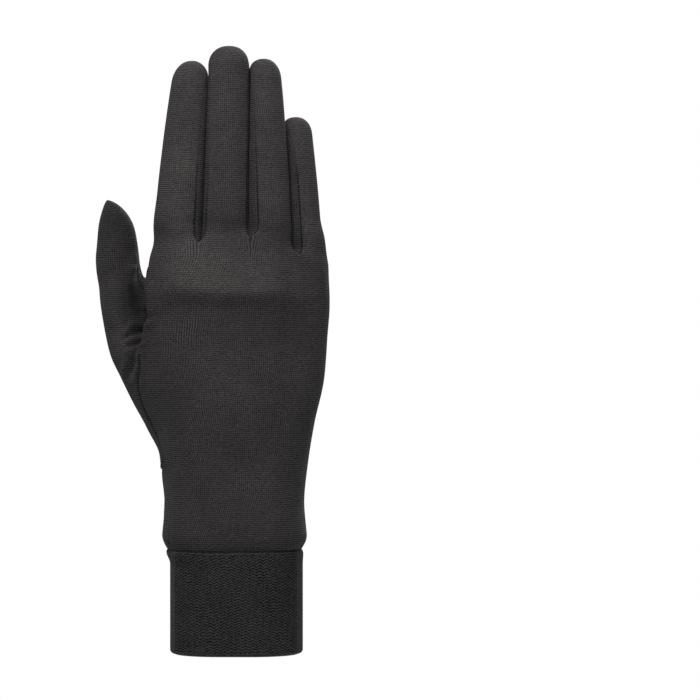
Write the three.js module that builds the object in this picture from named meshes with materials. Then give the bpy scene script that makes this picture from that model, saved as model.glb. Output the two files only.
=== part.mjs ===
// A knitted glove liner for the right hand, filled out as worn, with its fingers pointing up.
// Millimetres. The origin is the centre of the cuff's mouth, +Z runs up to the fingertips,
// the back of the hand faces -Y, the thumb is at -X and the little finger at +X.
import * as THREE from "three";

// Driving sizes
const fabricWall = 1.0;
const seamGap = 0.3;
// Edges meet at a slant, so each is drawn back by more than half the gap
const seamInset = seamGap * 0.75;
const fingerGap = 0.7;
const contactSoftness = 0.8;

const cuff = { length: 45.3, width: 57.4, depth: 44, wall: 2.4, edgeRound: 1.8 };
// How much wider and deeper the hand starts than the cuff that it grows from
const wristEase = { width: 3, depth: -1 };
const hand = { length: 136.4, knuckleDepth: 25, arch: 10, offset: 0.6 };
const thumb = { reach: 60.8, width: 19.8, tipHeight: 198, palmSet: 18.5, tipLength: 21 };
const fingerLength = { index: 79.8, middle: 84.8, ring: 81.9, little: 60.9 };
const fingerWidth = { index: 21.2, middle: 20, ring: 19.1, little: 15.8 };

// From the index finger to the little finger.
// taper is the share of the width lost at the tip, lean and bend the shares of the length by which the
// tip lies to the outer side and to the palm, arch the share of hand.arch by which the base lies to the
// palm, and spacing the share of two neighbours' mean width between their centre lines.
const fingers = table(["name", "taper", "lean", "bend", "arch", "spacing"], [
  ["index", 0.33, 0.07, 0.08, 0.1, 0.975],
  ["middle", 0.16, 0.02, 0.09, -0.03, 0.98],
  ["ring", 0.3, -0.03, 0.09, 0.22, 0.87],
  ["little", 0.22, -0.06, 0.14, 1.0, 0],
]);
// Heights of the finger bases at the thumb side, the three crotches and the outer side, of hand.length
const baseHeights = [0.97, 0.978, 1.0, 0.941, 0.93];
const knuckleSpread = 1.095;
const taperPower = 2.2;
const fingerFlatness = 0.92;
const fingerSquareness = 2.3;
const tipBluntness = 2.3;
const tipLengthShare = 0.47;
const thumbTipSharpness = 0.7;
const thumbTipTurn = 0.55;
const fourchetteHalfAngle = THREE.MathUtils.degToRad(46);
const fourchetteEnd = 0.93;
const fourchetteEndSharpness = 6;

// Sections of the hand above the cuff joint.
// radial, ulnar and depth go from the wrist's size at 0 to the knuckles' at 1; arch is a share of hand.arch.
const handSections = table(["height", "radial", "ulnar", "depth", "arch"], [
  [0.0, 0.05, -0.12, 0.0, 0.0],
  [0.05, 0.16, -0.03, 0.0, 0.0],
  [0.15, 0.07, -0.12, 0.06, 0.02],
  [0.26, 0.25, 0.02, 0.25, 0.08],
  [0.4, 0.42, 0.33, 0.5, 0.25],
  [0.55, 0.7, 0.78, 0.78, 0.5],
  [0.69, 0.92, 0.93, 0.97, 0.72],
  [0.77, 0.98, 1.02, 1.02, 0.85],
  [0.83, 0.93, 1.04, 0.96, 0.93],
  [0.92, 0.76, 0.96, 1.05, 1.0],
  [1.0, 0.6, 0.8, 1.2, 1.0],
]);

// Sections of the thumb from the bottom of its seam loop to where its tip starts.
// height is a share of the rise to the tip, reach of thumb.reach, radius of half thumb.width,
// and set of thumb.palmSet.
const thumbSections = table(["height", "reach", "radius", "set"], [
  [0.0, 0.5, 0.8, 0.2],
  [0.16, 0.63, 1.3, 0.36],
  [0.25, 0.725, 1.48, 0.46],
  [0.34, 0.81, 1.48, 0.52],
  [0.43, 0.89, 1.36, 0.63],
  [0.56, 0.945, 1.2, 0.79],
  [0.65, 0.975, 1.1, 0.9],
  [0.73, 1.0, 1.0, 0.98],
  [0.82, 1.0, 0.95, 1.0],
  [1.0, 0.985, 0.93, 0.96],
]);

// The thumb's seam loop: its two sides as shares of the girth from the thumb edge to the outer edge,
// over the back and over the palm. height is a share of hand.length.
const loopSeam = table(["height", "back", "palm"], [
  [0.25, 0.0, 0.0],
  [0.262, 0.05, 0.11],
  [0.29, 0.09, 0.22],
  [0.34, 0.1, 0.31],
  [0.42, 0.1, 0.37],
  [0.5, 0.12, 0.4],
  [0.6, 0.19, 0.4],
  [0.7, 0.22, 0.34],
  [0.78, 0.24, 0.25],
]);
const webTopHeight = 0.854;
const webRelease = 0.1;
const webLean = 0.35;
const webRound = 4;

// How finely the net is laid
const net = { perFinger: 4, perFourchette: 4, thumb: 14, girth: 180, heelRows: 5, loopRows: 9, archRows: 3 };
const loopCrowding = 1.6;

// Named-column table: each row becomes an object
function table(columns, rows) {
  return rows.map((row) => Object.fromEntries(columns.map((name, i) => [name, row[i]])));
}

const mix = (a, b, t) => a + (b - a) * t;
const mixPoint = (a, b, t) => a.map((v, i) => mix(v, b[i], t));
const clamp01 = (t) => Math.min(1, Math.max(0, t));
const smooth = (t) => clamp01(t) ** 2 * (3 - 2 * clamp01(t));
// Rises steeply and levels off, like the side of a U
const roundRise = (t) => Math.sqrt(1 - (1 - clamp01(t)) ** 2);

// A column of a table at a height, smoothed through its rows (monotone where the rows are)
function columnAt(rows, name, height) {
  const last = rows.length - 1;
  if (height <= rows[0].height) return rows[0][name];
  if (height >= rows[last].height) return rows[last][name];
  const i = rows.findIndex((row) => row.height > height) - 1;
  const slope = (k) => {
    if (k <= 0 || k >= last) return 0;
    const before = (rows[k][name] - rows[k - 1][name]) / (rows[k].height - rows[k - 1].height);
    const after = (rows[k + 1][name] - rows[k][name]) / (rows[k + 1].height - rows[k].height);
    return before * after > 0 ? (2 * before * after) / (before + after) : 0;
  };
  const span = rows[i + 1].height - rows[i].height;
  const t = (height - rows[i].height) / span;
  const bulge = span * t * (1 - t) * (slope(i) * (1 - t) - slope(i + 1) * t);
  return mix(rows[i][name], rows[i + 1][name], smooth(t)) + bulge;
}

// Where the fingers stand
const joint = cuff.length;
const sum = (numbers) => numbers.reduce((a, b) => a + b, 0);
for (const f of fingers) {
  f.length = fingerLength[f.name];
  f.width = fingerWidth[f.name];
}
const spacings = fingers.slice(0, -1).map((f, i) => (f.spacing * (f.width + fingers[i + 1].width)) / 2);
const rowWidth = fingers[0].width / 2 + sum(spacings) + fingers.at(-1).width / 2;
const knuckleWidth = rowWidth * knuckleSpread;
fingers.forEach((f, i) => {
  f.x = hand.offset - rowWidth / 2 + fingers[0].width / 2 + sum(spacings.slice(0, i));
  f.y = hand.arch * f.arch;
  const sides = [baseHeights[Math.max(i, 1)], baseHeights[Math.min(i + 1, fingers.length - 1)]];
  f.base = joint + (hand.length * (sides[0] + sides[1])) / 2;
  f.tip = f.base + f.length;
  f.tipStart = f.tip - f.width * tipLengthShare;
});

// A finger's section at a height: centre and half sizes
function fingerSection(f, z) {
  const t = clamp01((z - f.base) / f.length);
  const towardTip = clamp01((z - f.tipStart) / (f.tip - f.tipStart));
  const cap = (1 - towardTip ** tipBluntness) ** (1 / tipBluntness);
  const half = (f.width / 2) * (1 - f.taper * t ** taperPower) * cap;
  return {
    x: f.x + f.lean * f.length * t,
    y: f.y + f.bend * f.length * t * t,
    across: half,
    deep: half * fingerFlatness,
  };
}

// The plane halfway between two neighbours, at a height
function contactPlane(f, g, z) {
  const a = fingerSection(f, z);
  const b = fingerSection(g, z);
  const distance = Math.hypot(b.x - a.x, b.y - a.y);
  const normal = [(b.x - a.x) / distance, (b.y - a.y) / distance];
  const ra = (a.across + a.deep) / 2;
  const rb = (b.across + b.deep) / 2;
  const along = (distance ** 2 + ra ** 2 - rb ** 2) / (2 * distance);
  return { normal, point: [a.x + normal[0] * along, a.y + normal[1] * along] };
}

// How far a point lies beyond a plane
const beyond = ({ normal, point }, p) => (p[0] - point[0]) * normal[0] + (p[1] - point[1]) * normal[1];

// Holds a point at least half the finger gap on its own side of the plane between neighbours.
// The fabric flattens there softly.
function keepSide(point, plane, side) {
  const reach = beyond(plane, point) * side;
  const over = reach + fingerGap / 2 + contactSoftness;
  if (over <= 0) return point;
  const held = -fingerGap / 2 - contactSoftness * Math.exp(-over / contactSoftness);
  const move = side * (held - reach);
  return [point[0] + plane.normal[0] * move, point[1] + plane.normal[1] * move];
}

// A point of a finger's outline, at an angle round its section and a height
function fingerPoint(i, angle, z) {
  const s = fingerSection(fingers[i], z);
  const squared = (v) => Math.sign(v) * Math.abs(v) ** (2 / fingerSquareness);
  let point = [s.x + s.across * squared(Math.cos(angle)), s.y + s.deep * squared(Math.sin(angle))];
  if (i > 0) point = keepSide(point, contactPlane(fingers[i - 1], fingers[i], z), -1);
  if (i < fingers.length - 1) point = keepSide(point, contactPlane(fingers[i], fingers[i + 1], z), 1);
  return point;
}

// The hand's four rays as discs, at a height
function handDiscs(z) {
  const height = (z - joint) / hand.length;
  const at = (name) => columnAt(handSections, name, height);
  const wrist = (cuff.width + wristEase.width) / 2;
  const left = -mix(wrist, knuckleWidth / 2, at("radial"));
  const right = mix(wrist, knuckleWidth / 2, at("ulnar"));
  const radius = mix(cuff.depth + wristEase.depth, hand.knuckleDepth, at("depth")) / 2;
  const arch = at("arch");
  const radii = [mix(1, 0.94, arch), 1, 0.98, mix(1, 0.8, arch)].map((share) => share * radius);
  const first = left + radii[0];
  const last = right - radii[3];
  const across = (i) => (fingers[i].x - fingers[0].x) / (fingers[3].x - fingers[0].x);
  return radii.map((r, i) => ({ x: mix(first, last, across(i)), y: fingers[i].y * arch, r }));
}

// The thumb as a disc, at a height
const loopBottom = joint + hand.length * loopSeam[0].height;
const webBase = joint + hand.length * loopSeam.at(-1).height;
const webTop = joint + hand.length * webTopHeight;
const webEnd = webTop + hand.length * webRelease;
const thumbTipStart = thumb.tipHeight - thumb.tipLength;
function thumbDisc(z) {
  const height = (z - loopBottom) / (thumb.tipHeight - loopBottom);
  const towardTip = clamp01((z - thumbTipStart) / thumb.tipLength);
  const cap = (1 - towardTip ** 2) ** thumbTipSharpness;
  const at = (name) => columnAt(thumbSections, name, height);
  const body = at("radius") * (thumb.width / 2);
  const r = body * cap;
  const x = mix(body, r, thumbTipTurn) - at("reach") * thumb.reach;
  return { x, y: at("set") * thumb.palmSet, r };
}

// The line of a band stretched round discs. It starts at the thumb side and runs over the back.
function bandRound(discs) {
  const ring = [];
  for (let i = 0; i < net.girth; i++) {
    const angle = Math.PI + (i * 2 * Math.PI) / net.girth;
    const c = Math.cos(angle);
    const s = Math.sin(angle);
    let best = discs[0];
    for (const d of discs) if (d.x * c + d.y * s + d.r > best.x * c + best.y * s + best.r) best = d;
    ring.push([best.x + best.r * c, best.y + best.r * s]);
  }
  return ring;
}

// The stretch of a closed line from one place to another, where a place is an index with its fraction
function stretch(ring, from, to) {
  const n = ring.length;
  const at = (place) => {
    const i = Math.floor(place + 1e-9);
    return mixPoint(ring[i % n], ring[(i + 1) % n], Math.max(0, place - i));
  };
  const line = [at(from)];
  for (let i = Math.floor(from + 1e-9) + 1; i < to - 1e-9; i++) line.push(ring[i % n]);
  line.push(at(to));
  return line;
}

const apart = (a, b) => Math.hypot(b[0] - a[0], b[1] - a[1]);
const stepLengths = (line) => line.slice(1).map((p, i) => apart(line[i], p));

// The point at a share of a line's length
function pointAt(line, share) {
  const steps = stepLengths(line);
  let left = clamp01(share) * sum(steps);
  for (let i = 0; i < steps.length; i++) {
    if (left <= steps[i] && steps[i] > 0) return mixPoint(line[i], line[i + 1], left / steps[i]);
    left -= steps[i];
  }
  return line.at(-1);
}

// The share of a line's length at which it crosses a plane
function shareAtPlane(line, plane) {
  const steps = stepLengths(line);
  let run = 0;
  for (let i = 0; i < steps.length; i++) {
    const a = beyond(plane, line[i]);
    const b = beyond(plane, line[i + 1]);
    if (a * b <= 0 && a !== b) return (run + (steps[i] * a) / (a - b)) / sum(steps);
    run += steps[i];
  }
  throw new Error("the line doesn't cross the plane");
}

// The place on a closed line nearest to a point
function placeOf(ring, point) {
  let best = 0;
  let nearest = Infinity;
  ring.forEach((a, i) => {
    const b = ring[(i + 1) % ring.length];
    const long = apart(a, b);
    const along = ((point[0] - a[0]) * (b[0] - a[0]) + (point[1] - a[1]) * (b[1] - a[1])) / long ** 2;
    const t = long > 0 ? clamp01(along) : 0;
    const away = apart(mixPoint(a, b, t), point);
    if (away < nearest - 1e-9) [best, nearest] = [i + t, away];
  });
  return best;
}

// The lines round the hand and the thumb at a height.
// back runs from the thumb side to the outer side, palm from the outer side back, thumb from palm to back.
const half = net.girth / 2;
function linesAt(z) {
  if (z <= loopBottom) {
    const ring = bandRound(handDiscs(z));
    return { back: stretch(ring, 0, half), palm: stretch(ring, half, net.girth) };
  }
  if (z <= webBase) return loopLines(z);
  const lines = loopLines(webBase);
  const start = { back: lines.back[0], palm: lines.palm.at(-1) };
  const top = mixPoint(start.back, start.palm, webLean);
  const hands = handDiscs(z);
  const finger = thumbDisc(z);
  if (z <= webTop) {
    const u = (z - webBase) / (webTop - webBase);
    const onward = 1 - Math.sqrt(1 - u * u);
    const back = mixPoint(start.back, top, onward);
    const palm = mixPoint(start.palm, top, onward);
    return splitLines(hands, finger, { hand: [back, palm], thumb: [back, palm] });
  }
  const released = roundRise((z - webTop) / (webEnd - webTop));
  const handSide = [hands[0].x - hands[0].r, hands[0].y];
  const toward = Math.atan2(hands[0].y - finger.y, hands[0].x - finger.x);
  const thumbSide = [finger.x + finger.r * Math.cos(toward), finger.y + finger.r * Math.sin(toward)];
  const handPoint = mixPoint(top, handSide, released);
  const thumbPoint = mixPoint(top, thumbSide, released);
  const web = { hand: [handPoint, handPoint], thumb: [thumbPoint, thumbPoint] };
  return splitLines(hands, finger, web, webRound);
}

// One band round hand and thumb, cut at the two sides of the seam loop
function loopLines(z) {
  const height = (z - joint) / hand.length;
  const ring = bandRound([...handDiscs(z), thumbDisc(z)]);
  const back = stretch(ring, 0, half);
  const palm = stretch(ring, half, net.girth);
  const backCut = placeOf(ring, pointAt(back, columnAt(loopSeam, "back", height)));
  const palmCut = placeOf(ring, pointAt(palm, 1 - columnAt(loopSeam, "palm", height)));
  return {
    back: stretch(ring, backCut, half),
    palm: stretch(ring, half, palmCut),
    thumb: stretch(ring, palmCut, backCut + net.girth),
  };
}

// Two bands, one round the hand and one round the thumb, each held to the points of the web
function splitLines(hands, finger, web, round = 0) {
  const dot = ([x, y], inner) => {
    const away = Math.hypot(inner.x - x, inner.y - y);
    const r = Math.min(round, inner.r / 2);
    return { x: x + ((inner.x - x) * r) / away, y: y + ((inner.y - y) * r) / away, r };
  };
  const handRing = bandRound([...hands, ...web.hand.map((p) => dot(p, hands[0]))]);
  const thumbRing = bandRound([finger, ...web.thumb.map((p) => dot(p, finger))]);
  const full = net.girth;
  const from = placeOf(handRing, web.hand[0]);
  const to = placeOf(handRing, web.hand[1]);
  const thumbFrom = placeOf(thumbRing, web.thumb[1]);
  const thumbTo = placeOf(thumbRing, web.thumb[0]);
  const back = stretch(handRing, from, from > half ? half + full : half);
  const palm = stretch(handRing, half, to < half ? to + full : to);
  const around = stretch(thumbRing, thumbFrom, thumbTo <= thumbFrom + 1e-6 ? thumbTo + full : thumbTo);
  back[0] = web.hand[0];
  palm[palm.length - 1] = web.hand[1];
  around[0] = web.thumb[1];
  around[around.length - 1] = web.thumb[0];
  return { back, palm, thumb: around };
}

// Where the crotches between the fingers fall on the back and on the palm
const crotches = fingers.slice(0, -1).map((f, i) => {
  const z = joint + hand.length * baseHeights[i + 1];
  const lines = linesAt(z);
  const plane = contactPlane(f, fingers[i + 1], z);
  return {
    height: z,
    angle: Math.atan2(plane.normal[1], plane.normal[0]),
    back: shareAtPlane(lines.back, plane),
    palm: 1 - shareAtPlane([...lines.palm].reverse(), plane),
  };
});

// Column shares over the back (thumb side first) or over the palm (outer side first)
function columnShares(side) {
  const found = crotches.map((c) => c[side]);
  const cuts = side === "back" ? found : found.reverse();
  const ends = [0, ...cuts, 1];
  const shares = [0];
  for (let f = 0; f < fingers.length; f++)
    for (let c = 1; c <= net.perFinger; c++) shares.push(mix(ends[f], ends[f + 1], c / net.perFinger));
  return shares;
}

// Height of the finger bases at a column counted from the thumb side
function baseHeightAt(column) {
  const place = column / net.perFinger;
  const i = Math.min(fingers.length - 1, Math.floor(place));
  return joint + hand.length * mix(baseHeights[i], baseHeights[i + 1], place - i);
}

// Heights of the rows of the hand
const risingShares = (count, shape) => Array.from({ length: count }, (_, i) => shape((i + 1) / count));
const handHeights = [
  joint,
  ...risingShares(net.heelRows, (t) => mix(joint, loopBottom, t)),
  ...risingShares(net.loopRows, (t) => mix(loopBottom, webBase, t ** loopCrowding)),
  ...risingShares(net.archRows, (t) => mix(webBase, webTop, Math.sin((t * Math.PI) / 2))),
];
// Rows from the web to the finger bases
const baseRows = [0.12, 0.32, 0.64, 1];

// The rows of a panel over the hand, up to the finger bases
function handRows(side) {
  const shares = columnShares(side);
  const last = shares.length - 1;
  const pointOf = (z, c) => [...pointAt(linesAt(z)[side], shares[c]), z];
  const rows = handHeights.map((z) => shares.map((_, c) => pointOf(z, c)));
  const baseOf = (c) => baseHeightAt(side === "back" ? c : last - c);
  for (const t of baseRows) rows.push(shares.map((_, c) => pointOf(mix(webTop, baseOf(c), t), c)));
  return rows;
}

// Rows of a finger: shares of its length, then angles over its tip
const crotchDepth = 0.09;
const gentleDepth = 0.28;
const fingerRows = [
  ...[0.1, 0.4, 0.7, 1].map((t) => crotchDepth * t),
  ...[0.14, 0.2, 0.3, 0.42, 0.54, 0.66, 0.78],
];
const tipRows = [0.0, 0.35, 0.62, 0.84, 1].map((t) => (t * Math.PI) / 2);
const leastRow = 1;
function fingerHeights(f) {
  const below = fingerRows.map((t) => f.base + t * f.length).filter((z) => z < f.tipStart - leastRow);
  return [...below, ...tipRows.map((a) => mix(f.tipStart, f.tip, Math.sin(a)))];
}

// The angles of a finger's four seams at a height: thumb-side back, outer-side back, and so on round
function seamAngles(i, z) {
  const f = fingers[i];
  const t = clamp01((z - f.base) / f.length);
  const open = fourchetteHalfAngle * Math.sqrt(1 - clamp01(t / fourchetteEnd) ** fourchetteEndSharpness);
  const inner = i > 0 ? open : 0;
  const outer = i < fingers.length - 1 ? open : 0;
  const innerFacing = Math.PI + (i > 0 ? crotches[i - 1].angle : 0);
  const outerFacing = 2 * Math.PI + (i < fingers.length - 1 ? crotches[i].angle : 0);
  return {
    back: [innerFacing + inner, outerFacing - outer],
    outer: [outerFacing - outer, outerFacing + outer],
    palm: [outerFacing + outer, innerFacing + 2 * Math.PI - inner],
    inner: [innerFacing + inner, innerFacing - inner],
  };
}

// A point over a finger. face is back, palm, inner or outer, across runs 0 to 1 over it,
// start is the point of the hand that it grows from.
// It leaves the hand steeply beside a crotch and gently elsewhere.
function grownPoint(i, face, across, z, start) {
  const f = fingers[i];
  const outward = face === "back" ? across : 1 - across;
  const besideInner = i > 0 ? 1 - outward : 0;
  const besideOuter = i < fingers.length - 1 ? outward : 0;
  const isPanel = face === "back" || face === "palm";
  const beside = isPanel ? Math.max(besideInner, besideOuter) ** 2 : 1;
  const steep = roundRise((z - f.base) / (crotchDepth * f.length));
  const gentle = smooth((z - f.base) / (gentleDepth * f.length));
  const rise = mix(gentle, steep, beside);
  const settle = 1 - smooth((z - f.base) / (gentleDepth * f.length));
  const height = z + (start[2] - f.base) * settle;
  const [from, to] = seamAngles(i, z)[face];
  const target = fingerPoint(i, mix(from, to, across), z);
  return [...mixPoint(start.slice(0, 2), target, rise), height];
}

// The strip of a panel that runs up one finger
function fingerStrip(i, side, baseRow) {
  const first = (side === "back" ? i : fingers.length - 1 - i) * net.perFinger;
  const rows = [baseRow.slice(first, first + net.perFinger + 1)];
  for (const z of fingerHeights(fingers[i]))
    rows.push(rows[0].map((start, c) => grownPoint(i, side, c / net.perFinger, z, start)));
  return rows;
}

// The strip up both facing sides of two fingers, joined at their crotch
function fourchetteRows(i, backBase, palmBase) {
  const column = (i + 1) * net.perFinger;
  const backPoint = backBase[column];
  const palmPoint = palmBase[palmBase.length - 1 - column];
  const crossings = Array.from({ length: net.perFourchette + 1 }, (_, c) => c / net.perFourchette);
  const saddle = crossings.map((share) => mixPoint(backPoint, palmPoint, share));
  const side = (index, face) =>
    fingerHeights(fingers[index])
      .filter((z) => (z - fingers[index].base) / fingers[index].length <= fourchetteEnd)
      .map((z) => saddle.map((start, c) => grownPoint(index, face, c / net.perFourchette, z, start)));
  return [...side(i + 1, "inner").reverse(), saddle, ...side(i, "outer")];
}

// Sheets: lists of quads of points, facing out
function quadsOf(rows) {
  const quads = [];
  for (let r = 0; r + 1 < rows.length; r++)
    for (let c = 0; c + 1 < rows[r].length; c++)
      quads.push([rows[r][c], rows[r][c + 1], rows[r + 1][c + 1], rows[r + 1][c]]);
  return quads;
}

const handBack = handRows("back");
const handPalm = handRows("palm");
function panel(side, rows) {
  const strips = fingers.flatMap((_, i) => quadsOf(fingerStrip(i, side, rows.at(-1))));
  return { wall: fabricWall, quads: [...quadsOf(rows), ...strips] };
}
function fourchette(i) {
  return { wall: fabricWall, quads: quadsOf(fourchetteRows(i, handBack.at(-1), handPalm.at(-1))) };
}

// The thumb grows from the hand inside its seam loop
const thumbHeights = [
  ...handHeights.filter((z) => z >= loopBottom),
  ...[0.3, 0.65, 1].map((t) => mix(webTop, webEnd, t)),
  ...[0.1, 0.3, 0.55, 0.75, 0.9, 0.98, 1].map((t) => mix(thumbTipStart, thumb.tipHeight, t)),
].sort((a, b) => a - b);
const thumbShares = Array.from({ length: net.thumb + 1 }, (_, i) => i / net.thumb);
const thumbRows = thumbHeights.map((z) => {
  if (z <= loopBottom) return thumbShares.map(() => [...linesAt(loopBottom).back[0], z]);
  const line = linesAt(z).thumb;
  return thumbShares.map((share) => [...pointAt(line, share), z]);
});

// The cuff is a straight tube, rounded in at its mouth, that widens at its top to meet the hand's lowest row
const cuffFlare = 0.86;
const halfColumns = { back: columnShares("back"), palm: columnShares("palm") };
function cuffRow(z) {
  const radius = cuff.depth / 2 - (1 - roundRise(z / cuff.edgeRound)) * cuff.edgeRound;
  const shift = (cuff.width - cuff.depth) / 2;
  const ring = bandRound([-shift, shift].map((x) => ({ x, y: 0, r: radius })));
  const own = { back: stretch(ring, 0, half), palm: stretch(ring, half, net.girth) };
  const hands = linesAt(joint);
  const widened = smooth((z / joint - cuffFlare) / (1 - cuffFlare));
  const points = ["back", "palm"].map((side) =>
    halfColumns[side].map((share) => [
      ...mixPoint(pointAt(own[side], share), pointAt(hands[side], share), widened),
      z,
    ]),
  );
  return [...points[0], ...points[1].slice(1)];
}
const cuffHeights = [
  ...[0, 0.25, 1].map((t) => t * cuff.edgeRound),
  ...[0.3, 0.6, cuffFlare, (1 + cuffFlare) / 2, 1].map((t) => t * joint),
];

const sheets = {
  back_panel: panel("back", handBack),
  palm_panel: panel("palm", handPalm),
  fourchette_index_middle: fourchette(0),
  fourchette_middle_ring: fourchette(1),
  fourchette_ring_little: fourchette(2),
  thumb: { wall: fabricWall, quads: quadsOf(thumbRows) },
  cuff: { wall: cuff.wall, quads: quadsOf(cuffHeights.map(cuffRow)) },
};

// Points that fall together are one vertex, across pieces too, so that neighbours share their slant.
// Each corner counts by its angle.
const keyOf = (p) => p.map((v) => Math.round(v * 1000)).join(" ");
const normals = new Map();
for (const { quads } of Object.values(sheets))
  for (const quad of quads) {
    const corners = quad.filter((p, i) => keyOf(p) !== keyOf(quad[(i + 1) % quad.length]));
    corners.forEach((p, i) => {
      const here = new THREE.Vector3(...p);
      const onward = new THREE.Vector3(...corners[(i + 1) % corners.length]).sub(here);
      const behind = new THREE.Vector3(...corners[(i + corners.length - 1) % corners.length]).sub(here);
      const slant = onward.clone().cross(behind).normalize().multiplyScalar(onward.angleTo(behind));
      const key = keyOf(p);
      if (!normals.has(key)) normals.set(key, new THREE.Vector3());
      normals.get(key).add(slant);
    });
  }
normals.forEach((n) => n.normalize());

// A sheet as a wall of its own thickness: it grows inward from the net, drawn back a little from each seam
function wallOf({ wall, quads }) {
  const places = new Map();
  const outer = [];
  const faces = [];
  const indexOf = (p) => {
    const key = keyOf(p);
    if (!places.has(key)) {
      places.set(key, outer.length);
      outer.push({ at: new THREE.Vector3(...p), normal: normals.get(key), inward: new THREE.Vector3() });
    }
    return places.get(key);
  };
  for (const quad of quads) {
    const ring = quad.map(indexOf).filter((v, i, all) => v !== all[(i + 1) % all.length]);
    if (ring.length >= 3) faces.push(ring);
  }
  const edges = new Map();
  faces.forEach((face) =>
    face.forEach((a, i) => {
      const b = face[(i + 1) % face.length];
      if (!edges.delete(b + " " + a)) edges.set(a + " " + b, { a, b, face });
    }),
  );
  for (const { a, b, face } of edges.values()) {
    const [p, q, r] = [face[0], face[1], face[2]].map((i) => outer[i].at);
    const n = q.clone().sub(p).cross(r.clone().sub(p)).normalize();
    const away = n.cross(outer[b].at.clone().sub(outer[a].at)).normalize();
    outer[a].inward.add(away);
    outer[b].inward.add(away);
  }
  const positions = [];
  for (const v of outer) {
    const agreement = v.inward.length() / 2;
    if (agreement > 0) v.inward.normalize().multiplyScalar(seamInset / Math.max(agreement, 0.4));
    v.at.add(v.inward);
    positions.push(...v.at.toArray());
  }
  for (const v of outer) positions.push(...v.at.clone().addScaledVector(v.normal, -wall).toArray());
  const under = outer.length;
  const index = [];
  for (const face of faces)
    for (let i = 1; i + 1 < face.length; i++) {
      index.push(face[0], face[i], face[i + 1]);
      index.push(under + face[0], under + face[i + 1], under + face[i]);
    }
  for (const { a, b } of edges.values()) index.push(b, a, under + a, b, under + a, under + b);
  const geometry = new THREE.BufferGeometry();
  geometry.setAttribute("position", new THREE.Float32BufferAttribute(positions, 3));
  geometry.setIndex(index);
  geometry.computeVertexNormals();
  return geometry;
}

const knitBlack = new THREE.MeshStandardMaterial({ color: 0x2b2b2d, roughness: 0.95, metalness: 0 });
const ribBlack = new THREE.MeshStandardMaterial({ color: 0x232325, roughness: 0.97, metalness: 0 });

const glove = new THREE.Group();
for (const [name, sheet] of Object.entries(sheets)) {
  const mesh = new THREE.Mesh(wallOf(sheet), name === "cuff" ? ribBlack : knitBlack);
  mesh.name = name;
  glove.add(mesh);
}
export default glove;
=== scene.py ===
"""A thin knitted glove liner for the right hand, held up as it is worn.

The shape is worked out in millimetres and built in metres, in the frame of the solids:
+Z runs up the fingers, the back of the hand faces -Y and the thumb is at -X.
"""

import math

import bpy
import numpy as np
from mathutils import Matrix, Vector, kdtree


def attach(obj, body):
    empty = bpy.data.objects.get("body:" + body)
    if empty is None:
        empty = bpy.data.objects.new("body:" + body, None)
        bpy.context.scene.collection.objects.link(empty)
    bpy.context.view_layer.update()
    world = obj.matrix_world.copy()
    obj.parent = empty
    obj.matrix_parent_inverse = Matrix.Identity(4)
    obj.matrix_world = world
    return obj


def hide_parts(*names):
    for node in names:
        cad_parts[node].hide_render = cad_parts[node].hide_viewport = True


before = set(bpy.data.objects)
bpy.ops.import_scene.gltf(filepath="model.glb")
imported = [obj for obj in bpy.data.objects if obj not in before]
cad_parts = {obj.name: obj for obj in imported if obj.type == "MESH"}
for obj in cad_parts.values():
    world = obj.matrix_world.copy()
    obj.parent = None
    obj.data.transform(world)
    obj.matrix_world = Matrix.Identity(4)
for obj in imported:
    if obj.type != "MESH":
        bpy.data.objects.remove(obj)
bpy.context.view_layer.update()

MM = 0.001

# Driving sizes, in millimetres
CUFF = dict(length=45.3, width=57.4, depth=44.0, wall=2.4, edge_round=1.8)
HAND = dict(length=136.4, wrist_width=60.4, wrist_depth=43.0, knuckle_depth=25.0, arch=10.0, offset=0.6)
THUMB = dict(reach=62.3, width=19.4, tip_height=198.0, palm_set=18.5, tip_length=21.0)
FABRIC_WALL = 1.0
FINGER_GAP = 0.45
CONTACT_SOFTNESS = 0.2
# How much fuller the knit makes a finger's half width
KNIT_FULLNESS = 0.3
# Touching fingers press into each other in a shallow bow
CONTACT_BOW = 1.2
CONTACT_BOW_HALF = 3.0

# From the index finger to the little finger. taper is the share of the width lost at the tip, lean and
# bend the shares of the length by which the tip lies to the outer side and to the palm, arch the share of
# the hand's arch by which the base lies to the palm, spacing the share of two neighbours' mean width.
FINGERS = [
    dict(length=79.8, width=21.2, taper=0.33, lean=0.07, bend=0.08, arch=0.1, spacing=0.975),
    dict(length=84.8, width=20.0, taper=0.16, lean=0.02, bend=0.09, arch=-0.03, spacing=0.98),
    dict(length=81.9, width=19.1, taper=0.3, lean=-0.03, bend=0.09, arch=0.22, spacing=0.87),
    dict(length=60.9, width=15.8, taper=0.22, lean=-0.06, bend=0.14, arch=1.0, spacing=0.0),
]
BASE_HEIGHTS = [0.97, 0.978, 1.0, 0.941, 0.93]
KNUCKLE_SPREAD = 1.095
TAPER_POWER = 2.2
FINGER_FLATNESS = 0.92
FINGER_SQUARENESS = 2.1
TIP_BLUNTNESS = 2.3
TIP_LENGTH_SHARE = 0.47
THUMB_TIP_SHARPNESS = 0.64
THUMB_TIP_TURN = 0.55
# How far the fourchette seams of each finger lie from its inner and outer side, in degrees
SEAM_ANGLES = [
    dict(inner_back=0, outer_back=49, inner_palm=0, outer_palm=46),
    dict(inner_back=44, outer_back=31, inner_palm=46, outer_palm=44),
    dict(inner_back=58, outer_back=27, inner_palm=44, outer_palm=40),
    dict(inner_back=60, outer_back=0, inner_palm=50, outer_palm=0),
]
FOURCHETTE_END = 0.93
FOURCHETTE_END_SHARPNESS = 6
CROTCH_DEPTH = 0.05
GENTLE_DEPTH = 0.28
CUFF_FLARE = 0.86


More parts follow.
